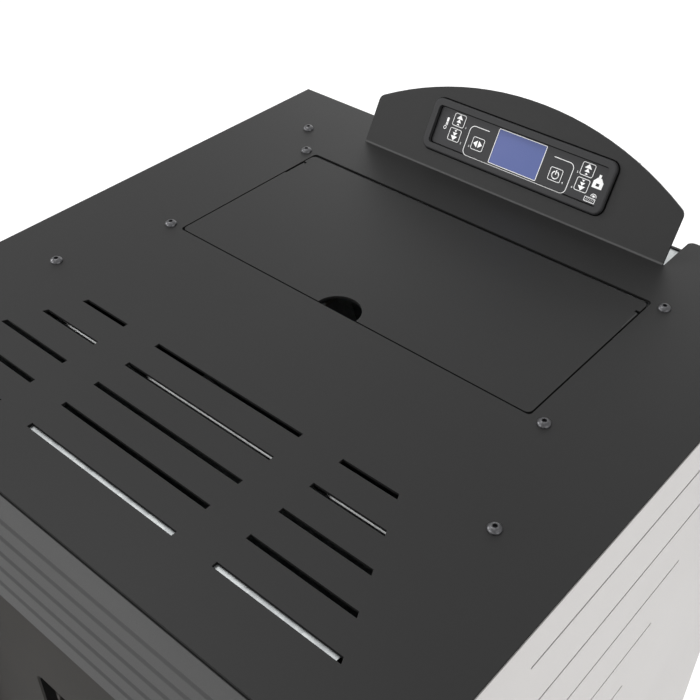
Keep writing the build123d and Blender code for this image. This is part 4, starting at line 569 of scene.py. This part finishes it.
def layOnCarrier(flats, name, height, body, material=None, thickness=None):
    # gives the ink its thickness and lays it on the film or on a key
    obj = joinAll(flats, name)
    editMode(obj)
    growUp(thickness or carrier["ink"])
    closeMesh()
    shift(obj, 0, 0, height - carrier["sunk"])
    turnAbout(obj, carrier["tilt"], "X")
    shift(obj, *carrier["foot"])
    obj.data.materials.clear()
    obj.data.materials.append(material or printWhite)
    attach(obj, body)
    return obj


keyPrint = {
    "size": (11.4, 10.4), "corner": 1.6, "line": 0.45,
    # width, height and rise of each head
    "arrows": [(6.2, 3.6, 2.1), (4.4, 2.8, -1.0), (2.6, 1.4, -3.5)],
    "sideArrow": (5.8, 3.6), "sideReach": 1.8,
    "powerRing": 6.6, "powerLine": 0.8, "powerDrop": 0.3, "powerGap": 1.0,
    "powerBar": (0.8, 3.6), "barCorner": 0.3, "barRise": 1.9,
    "places": {
        "key_heat_up": (-60.6, 44.6), "key_heat_down": (-60.6, 32.4),
        "key_mode": (-37.0, 32.2), "key_power": (37.1, 32.2),
        "key_fan_up": (61.0, 44.6), "key_fan_down": (61.0, 32.4),
    },
}


def stackedArrows(u, t, way):
    # three heads that shrink away from where they point
    turn = 0 if way > 0 else 180
    return [
        triangle(width, height, (u, t + way * place), turn)
        for width, height, place in keyPrint["arrows"]
    ]


for keyName, (u, t) in keyPrint["places"].items():
    outline = flatPlate(*keyPrint["size"], (u, t), corner=keyPrint["corner"])
    shapes = [hollow(outline, keyPrint["line"])]
    if "up" in keyName:
        shapes += stackedArrows(u, t, 1)
    elif "down" in keyName:
        shapes += stackedArrows(u, t, -1)
    elif keyName == "key_mode":
        reach = keyPrint["sideReach"]
        shapes += [
            triangle(*keyPrint["sideArrow"], (u + side * reach, t), -90 * side) for side in (-1, 1)
        ]
    else:
        across, gap = keyPrint["powerRing"], keyPrint["powerGap"]
        disc = flatPlate(across, across, (u, t - keyPrint["powerDrop"]), sides=40)
        ring = hollow(disc, keyPrint["powerLine"])
        for side in (-1, 1):
            half = copyOf(ring, "powerHalf")
            cutAway(half, (u + side * gap, t), (-side, 0))
            shapes.append(half)
        cutAway(ring, (u, t), (0, 1))
        barPlace = (u, t + keyPrint["barRise"])
        shapes += [ring, flatPlate(*keyPrint["powerBar"], barPlace, corner=keyPrint["barCorner"])]
    layOnCarrier(shapes, keyName + "_print", carrier["keyTop"], keyName)
print("keys printed")

# lines, small marks and the display's outline on the film
filmPrint = {
    # middle and size of each outline
    "display": (-0.15, 36.05, 45.4, 28.6), "displayCorner": 0.9,
    "frame": (0.6, 32.65, 98.4, 25.0), "frameCorner": 4.5,
    "line": 0.5,
    "frameGap": (-30.6, 30.9),
    "numbers": {
        "1": (-52.7, 40.6), "2": (-52.7, 27.8), "3": (-44.6, 28.3),
        "4": (44.9, 28.2), "5": (53.6, 40.4), "6": (53.6, 28.2),
    },
    "numberSize": 2.4,
}


def openFrame():
    # a rounded line round the display that stays open above it
    x, y, width, height = filmPrint["frame"]
    outline = flatPlate(width, height, (x, y), corner=filmPrint["frameCorner"])
    ring = hollow(outline, filmPrint["line"])
    editMode(ring, "VERT")
    for cutX in filmPrint["frameGap"]:
        bpy.ops.mesh.select_all(action="SELECT")
        bpy.ops.mesh.bisect(plane_co=(cutX * mm, 0, 0), plane_no=(1, 0, 0))
    low, high = filmPrint["frameGap"]
    pickFaces(ring, lambda centre, normal: low < centre.x < high and centre.y > y)
    bpy.ops.mesh.delete(type="FACE")
    objectMode()
    return ring


def numberMark(character, place):
    deselectAll()
    bpy.ops.object.text_add()
    obj = bpy.context.object
    obj.data.body = character
    obj.data.size = filmPrint["numberSize"] * mm
    obj.data.align_x = "CENTER"
    obj.data.align_y = "CENTER"
    bpy.ops.object.convert(target="MESH")
    shift(obj, *place, 0)
    return obj


x, y, width, height = filmPrint["display"]
displayLine = flatPlate(width, height, (x, y), corner=filmPrint["displayCorner"])
filmShapes = [hollow(displayLine, filmPrint["line"]), openFrame()]
filmShapes += [numberMark(text, place) for text, place in filmPrint["numbers"].items()]

# thermometer beside the heat keys
thermometer = {
    "column": (1.9, 3.6), "columnPlace": (-71.2, 42.2), "corner": 0.7,
    "wall": (0.7, 2.6), "wallPlaces": ((-71.7, 38.9), (-70.6, 38.9)),
    "bulb": (2.8, 3.2), "bulbPlace": (-71.9, 35.6), "line": 0.5,
}
filmShapes.append(
    flatPlate(*thermometer["column"], thermometer["columnPlace"], corner=thermometer["corner"]),
)
filmShapes += [flatPlate(*thermometer["wall"], place) for place in thermometer["wallPlaces"]]
bulb = flatPlate(*thermometer["bulb"], thermometer["bulbPlace"], sides=24)
filmShapes.append(hollow(bulb, thermometer["line"]))

# house beside the fan keys, with a window
houseMark = {
    "middle": (72.8, 36.4), "wall": (8.4, 5.4), "window": (2.8, 2.2),
    "roof": (7.6, 5.0), "roofRise": 1.68, "roofCut": 5.4,
    "chimney": (2.0, 3.0), "chimneyPlace": (-0.2, 6.4),
}
u, t = houseMark["middle"]
wallWidth, wallHeight = houseMark["wall"]
holeWidth, holeHeight = houseMark["window"]
sideWidth, edgeHeight = (wallWidth - holeWidth) / 2, (wallHeight - holeHeight) / 2
for side in (-1, 1):
    filmShapes += [
        flatPlate(sideWidth, wallHeight, (u + side * (holeWidth + sideWidth) / 2, t)),
        flatPlate(holeWidth, edgeHeight, (u, t + side * (holeHeight + edgeHeight) / 2)),
    ]
roof = triangle(*houseMark["roof"], (u, t + wallHeight / 2 + houseMark["roofRise"]))
chimneyAcross, chimneyRise = houseMark["chimneyPlace"]
filmShapes += [
    cutAway(roof, (u, t + houseMark["roofCut"]), (0, 1)),
    flatPlate(*houseMark["chimney"], (u + chimneyAcross, t + chimneyRise)),
]

# remote control with its waves
remote = {
    "middle": (71.0, 23.9), "body": (9.4, 3.8), "corner": 0.6, "line": 0.45,
    "key": (0.2, 3.0), "keyLean": -30, "firstKey": 68.0, "keyStep": 1.5, "keys": 5,
    "waves": (73.2, 26.9), "waveRadii": (1.4, 2.6), "waveLine": 0.5,
    "lamp": 1.3, "lampPlace": (73.2, 27.2),
}
remoteBody = flatPlate(*remote["body"], remote["middle"], corner=remote["corner"])
filmShapes.append(hollow(remoteBody, remote["line"]))
for i in range(remote["keys"]):
    keyPlace = (remote["firstKey"] + remote["keyStep"] * i, remote["middle"][1])
    filmShapes.append(flatPlate(*remote["key"], keyPlace, turn=remote["keyLean"]))
for radius in remote["waveRadii"]:
    wave = hollow(flatPlate(2 * radius, 2 * radius, remote["waves"], sides=32), remote["waveLine"])
    filmShapes.append(cutAway(wave, remote["waves"], (0, -1)))
filmShapes.append(flatPlate(remote["lamp"], remote["lamp"], remote["lampPlace"], sides=16))
layOnCarrier(filmShapes, "panel_print", carrier["filmTop"], "stove")
print("film printed")

# dark lines round the panel, both painted shadow: a black line along the film's edge and a black foam ring
# that peeks out under the bezel
panelEdges = {
    "film": (-1.05, 36.0, 160.0, 31.5), "filmCorner": 2.9, "filmLine": 0.8, "filmShadowThick": 0.04,
    "bezel": (-1.05, 36.0, 171.1, 42.6), "bezelCorner": 7.0,
    "shadowRingReach": 1.0, "shadowRingTuck": 0.05, "shadowRingFoot": 0.03, "shadowRingThick": 0.6,
}
x, y, width, height = panelEdges["film"]
filmOutline = flatPlate(width, height, (x, y), corner=panelEdges["filmCorner"])
filmShadowLine = hollow(filmOutline, panelEdges["filmLine"])
layOnCarrier(
    [filmShadowLine], "film_shadow_line", carrier["filmTop"], "stove", shadowBlack, panelEdges["filmShadowThick"],
)
# black foam ring round the bezel: painted shadow along the bezel's edge
x, y, width, height = panelEdges["bezel"]
reach = panelEdges["shadowRingReach"]
bezelShadowRing = hollow(
    flatPlate(width + 2 * reach, height + 2 * reach, (x, y), corner=panelEdges["bezelCorner"] + reach),
    reach - panelEdges["shadowRingTuck"],
)
layOnCarrier(
    [bezelShadowRing], "bezel_shadow_ring", panelEdges["shadowRingFoot"], "stove", shadowFoam, panelEdges["shadowRingThick"],
)
print("panel edges laid")

# rubber edge trim on the rear panel, seen through the notches beside the carrier
edgeTrim = {
    "halfLength": 246.0, "inner": 223.3, "outer": 226.0, "lip": 225.05,
    "under": 989.05, "top": 990.0, "foot": 983.0, "rounding": 0.25,
}
deselectAll()
bpy.ops.mesh.primitive_cube_add(size=1)
trim = bpy.context.object
editMode(trim)
bpy.ops.transform.resize(
    value=(
        2 * edgeTrim["halfLength"] * mm,
        (edgeTrim["outer"] - edgeTrim["inner"]) * mm,
        (edgeTrim["top"] - edgeTrim["under"]) * mm,
    ),
    center_override=(0, 0, 0),
)
trimMiddle = (edgeTrim["outer"] + edgeTrim["inner"]) / 2
lipPlace = edgeTrim["lip"] - trimMiddle
bpy.ops.mesh.bisect(plane_co=(0, lipPlace * mm, 0), plane_no=(0, 1, 0))
pickFaces(trim, lambda centre, normal: normal.z < -0.5 and centre.y > lipPlace)
growUp(edgeTrim["foot"] - edgeTrim["under"])
closeMesh(edgeTrim["rounding"])
shift(trim, 0, trimMiddle, (edgeTrim["top"] + edgeTrim["under"]) / 2)
trim.name = "rear_edge_trim"
trim.data.materials.append(rubberFoot)
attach(trim, "stove")
print("edge trim on")

# black foam strip in the slit between the fascia and the plate, flush with the plate's front edge: painted
# shadow for that gap
fasciaShadowStrip = {
    "halfLength": 236.0, "front": -268.75, "rear": -262.5,
    "under": 995.02, "top": 997.98, "rounding": 0.4,
}
deselectAll()
bpy.ops.mesh.primitive_plane_add(size=1)
shadowStrip = bpy.context.object
editMode(shadowStrip)
bpy.ops.transform.resize(
    value=(2 * fasciaShadowStrip["halfLength"] * mm, (fasciaShadowStrip["rear"] - fasciaShadowStrip["front"]) * mm, 1),
    center_override=(0, 0, 0),
)
growUp(fasciaShadowStrip["top"] - fasciaShadowStrip["under"])
closeMesh(fasciaShadowStrip["rounding"])
shift(shadowStrip, 0, (fasciaShadowStrip["front"] + fasciaShadowStrip["rear"]) / 2, fasciaShadowStrip["under"])
shadowStrip.name = "fascia_shadow_strip"
shadowStrip.data.materials.append(shadowFoam)
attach(shadowStrip, "stove")

# black steel trim that lines the door's window opening; its near-black colour is painted shade on the
# shaded rim of the recess
windowShadowTrim = {
    "size": (237.9, 299.9), "middle": 558.0, "corner": 7.9, "line": 1.0,
    "front": -246.0, "rear": -237.1,
}
trimOutline = flatPlate(*windowShadowTrim["size"], (0, 0), corner=windowShadowTrim["corner"])
opening = hollow(trimOutline, windowShadowTrim["line"])
editMode(opening)
growUp(windowShadowTrim["rear"] - windowShadowTrim["front"])
closeMesh()
turnAbout(opening, 90, "X")
shift(opening, 0, windowShadowTrim["rear"], windowShadowTrim["middle"])
opening.name = "window_shadow_trim"
opening.data.materials.append(shadowBlack)
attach(opening, "door")
print("seal and window trim in")

# pan-head screws that hold the rear panel, modelled once
rearScrews = {
    "head": 7.6, "height": 2.2, "rounding": 1.1, "face": 225.0,
    "recess": 3.0, "depth": 1.2, "recessTaper": 0.6,
    "across": (-243.0, 243.0), "heights": (48.0, 280.0, 512.0, 744.0, 977.0),
    "extra": ((0.0, 977.0), (-60.0, 48.0), (60.0, 48.0)),
}
deselectAll()
bpy.ops.mesh.primitive_circle_add(vertices=32, radius=rearScrews["head"] / 2 * mm, fill_type="NGON")
panHead = bpy.context.object
editMode(panHead)
growUp(rearScrews["height"])
pickFaces(panHead, lambda centre, normal: centre.z > 0.9 * rearScrews["height"] and abs(normal.z) > 0.5)
bpy.ops.mesh.bevel(offset=rearScrews["rounding"] * mm, segments=4, affect="EDGES")
pickFaces(panHead, lambda centre, normal: centre.z > 0.99 * rearScrews["height"])
recessRim = (rearScrews["head"] - rearScrews["recess"]) / 2
bpy.ops.mesh.inset(thickness=recessRim * mm - rearScrews["rounding"] * mm)
growUp(-rearScrews["depth"])
taper = rearScrews["recessTaper"]
bpy.ops.transform.resize(value=(taper, taper, 1), center_override=(0, 0, 0))
closeMesh()
panHead.data.polygons.foreach_set("use_smooth", [True] * len(panHead.data.polygons))
panHead.data.materials.append(finishes["zinc"])
turnAbout(panHead, -90, "X")
screwPlaces = [(across, height) for across in rearScrews["across"] for height in rearScrews["heights"]]
screwPlaces += list(rearScrews["extra"])
rearHeads = []
for across, height in screwPlaces:
    head = copyOf(panHead, "rearHead")
    shift(head, across, rearScrews["face"], height)
    rearHeads.append(head)
bpy.data.objects.remove(panHead)
rearScrewSet = joinAll(rearHeads, "rear_screws")
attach(rearScrewSet, "stove")
print("rear screws in:", len(screwPlaces))

# aluminium tape creased over the rear edge of the warm-air duct, under the second row of slots
ductTape = {
    "length": 368.0, "width": 2.6, "height": 1.03,
    # the crest's width as a share of the foot's, and how far to the rear it narrows
    "crest": 0.154, "lean": 0.35,
    "across": -139.7, "foot": 988.02, "rounding": 0.12,
}
deselectAll()
bpy.ops.mesh.primitive_plane_add(size=1)
tape = bpy.context.object
editMode(tape)
bpy.ops.transform.resize(
    value=(ductTape["length"] * mm, ductTape["width"] * mm, 1), center_override=(0, 0, 0),
)
growUp(ductTape["height"])
bpy.ops.transform.resize(
    value=(1, ductTape["crest"], 1),
    center_override=(0, ductTape["lean"] * mm, ductTape["height"] * mm),
)
closeMesh(ductTape["rounding"])
shift(tape, 0, ductTape["across"], ductTape["foot"])
tape.name = "duct_edge_tape"
tape.data.materials.append(foilTape)
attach(tape, "stove")

# black felt screens behind the side panels' slits, each with a pressed rim: dark sheets that paint the
# shade inside the slits
slitShadeScreen = {
    "size": (326.0, 216.0), "middle": (-62.0, 859.0), "face": 248.05, "corner": 8.0,
    "thick": 0.3, "rim": 5.0, "step": 0.3, "press": 0.35,
}
screenWidth, screenHeight = slitShadeScreen["size"]
deselectAll()
bpy.ops.mesh.primitive_plane_add(size=1)
screenSheet = bpy.context.object
editMode(screenSheet, "VERT")
bpy.ops.transform.resize(
    value=(screenWidth * mm, screenHeight * mm, 1), center_override=(0, 0, 0),
)
bpy.ops.mesh.bevel(offset=slitShadeScreen["corner"] * mm, segments=5, affect="VERTICES")
growUp(slitShadeScreen["thick"])
pickFaces(screenSheet, lambda centre, normal: centre.z > 0.9 * slitShadeScreen["thick"])
bpy.ops.mesh.inset(thickness=slitShadeScreen["rim"] * mm, use_even_offset=True)
bpy.ops.mesh.inset(thickness=slitShadeScreen["step"] * mm, use_even_offset=True)
bpy.ops.transform.translate(value=(0, 0, slitShadeScreen["press"] * mm))
closeMesh()
screenSheet.data.materials.append(shadeFelt)
turnAbout(screenSheet, 90, "X")
turnAbout(screenSheet, 90, "Z")
shift(screenSheet, slitShadeScreen["face"], *slitShadeScreen["middle"])
for sideName in ("right", "left"):
    screen = copyOf(screenSheet, "slit_shade_screen_" + sideName)
    if sideName == "left":
        screen.data.transform(Matrix.Scale(-1, 4, (1, 0, 0)))
        screen.data.flip_normals()
    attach(screen, "stove")
bpy.data.objects.remove(screenSheet)
print("duct tape and dust screens in")

size = {"cad": [list(corner) for corner in cadBox], "visual": [list(corner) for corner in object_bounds()]}
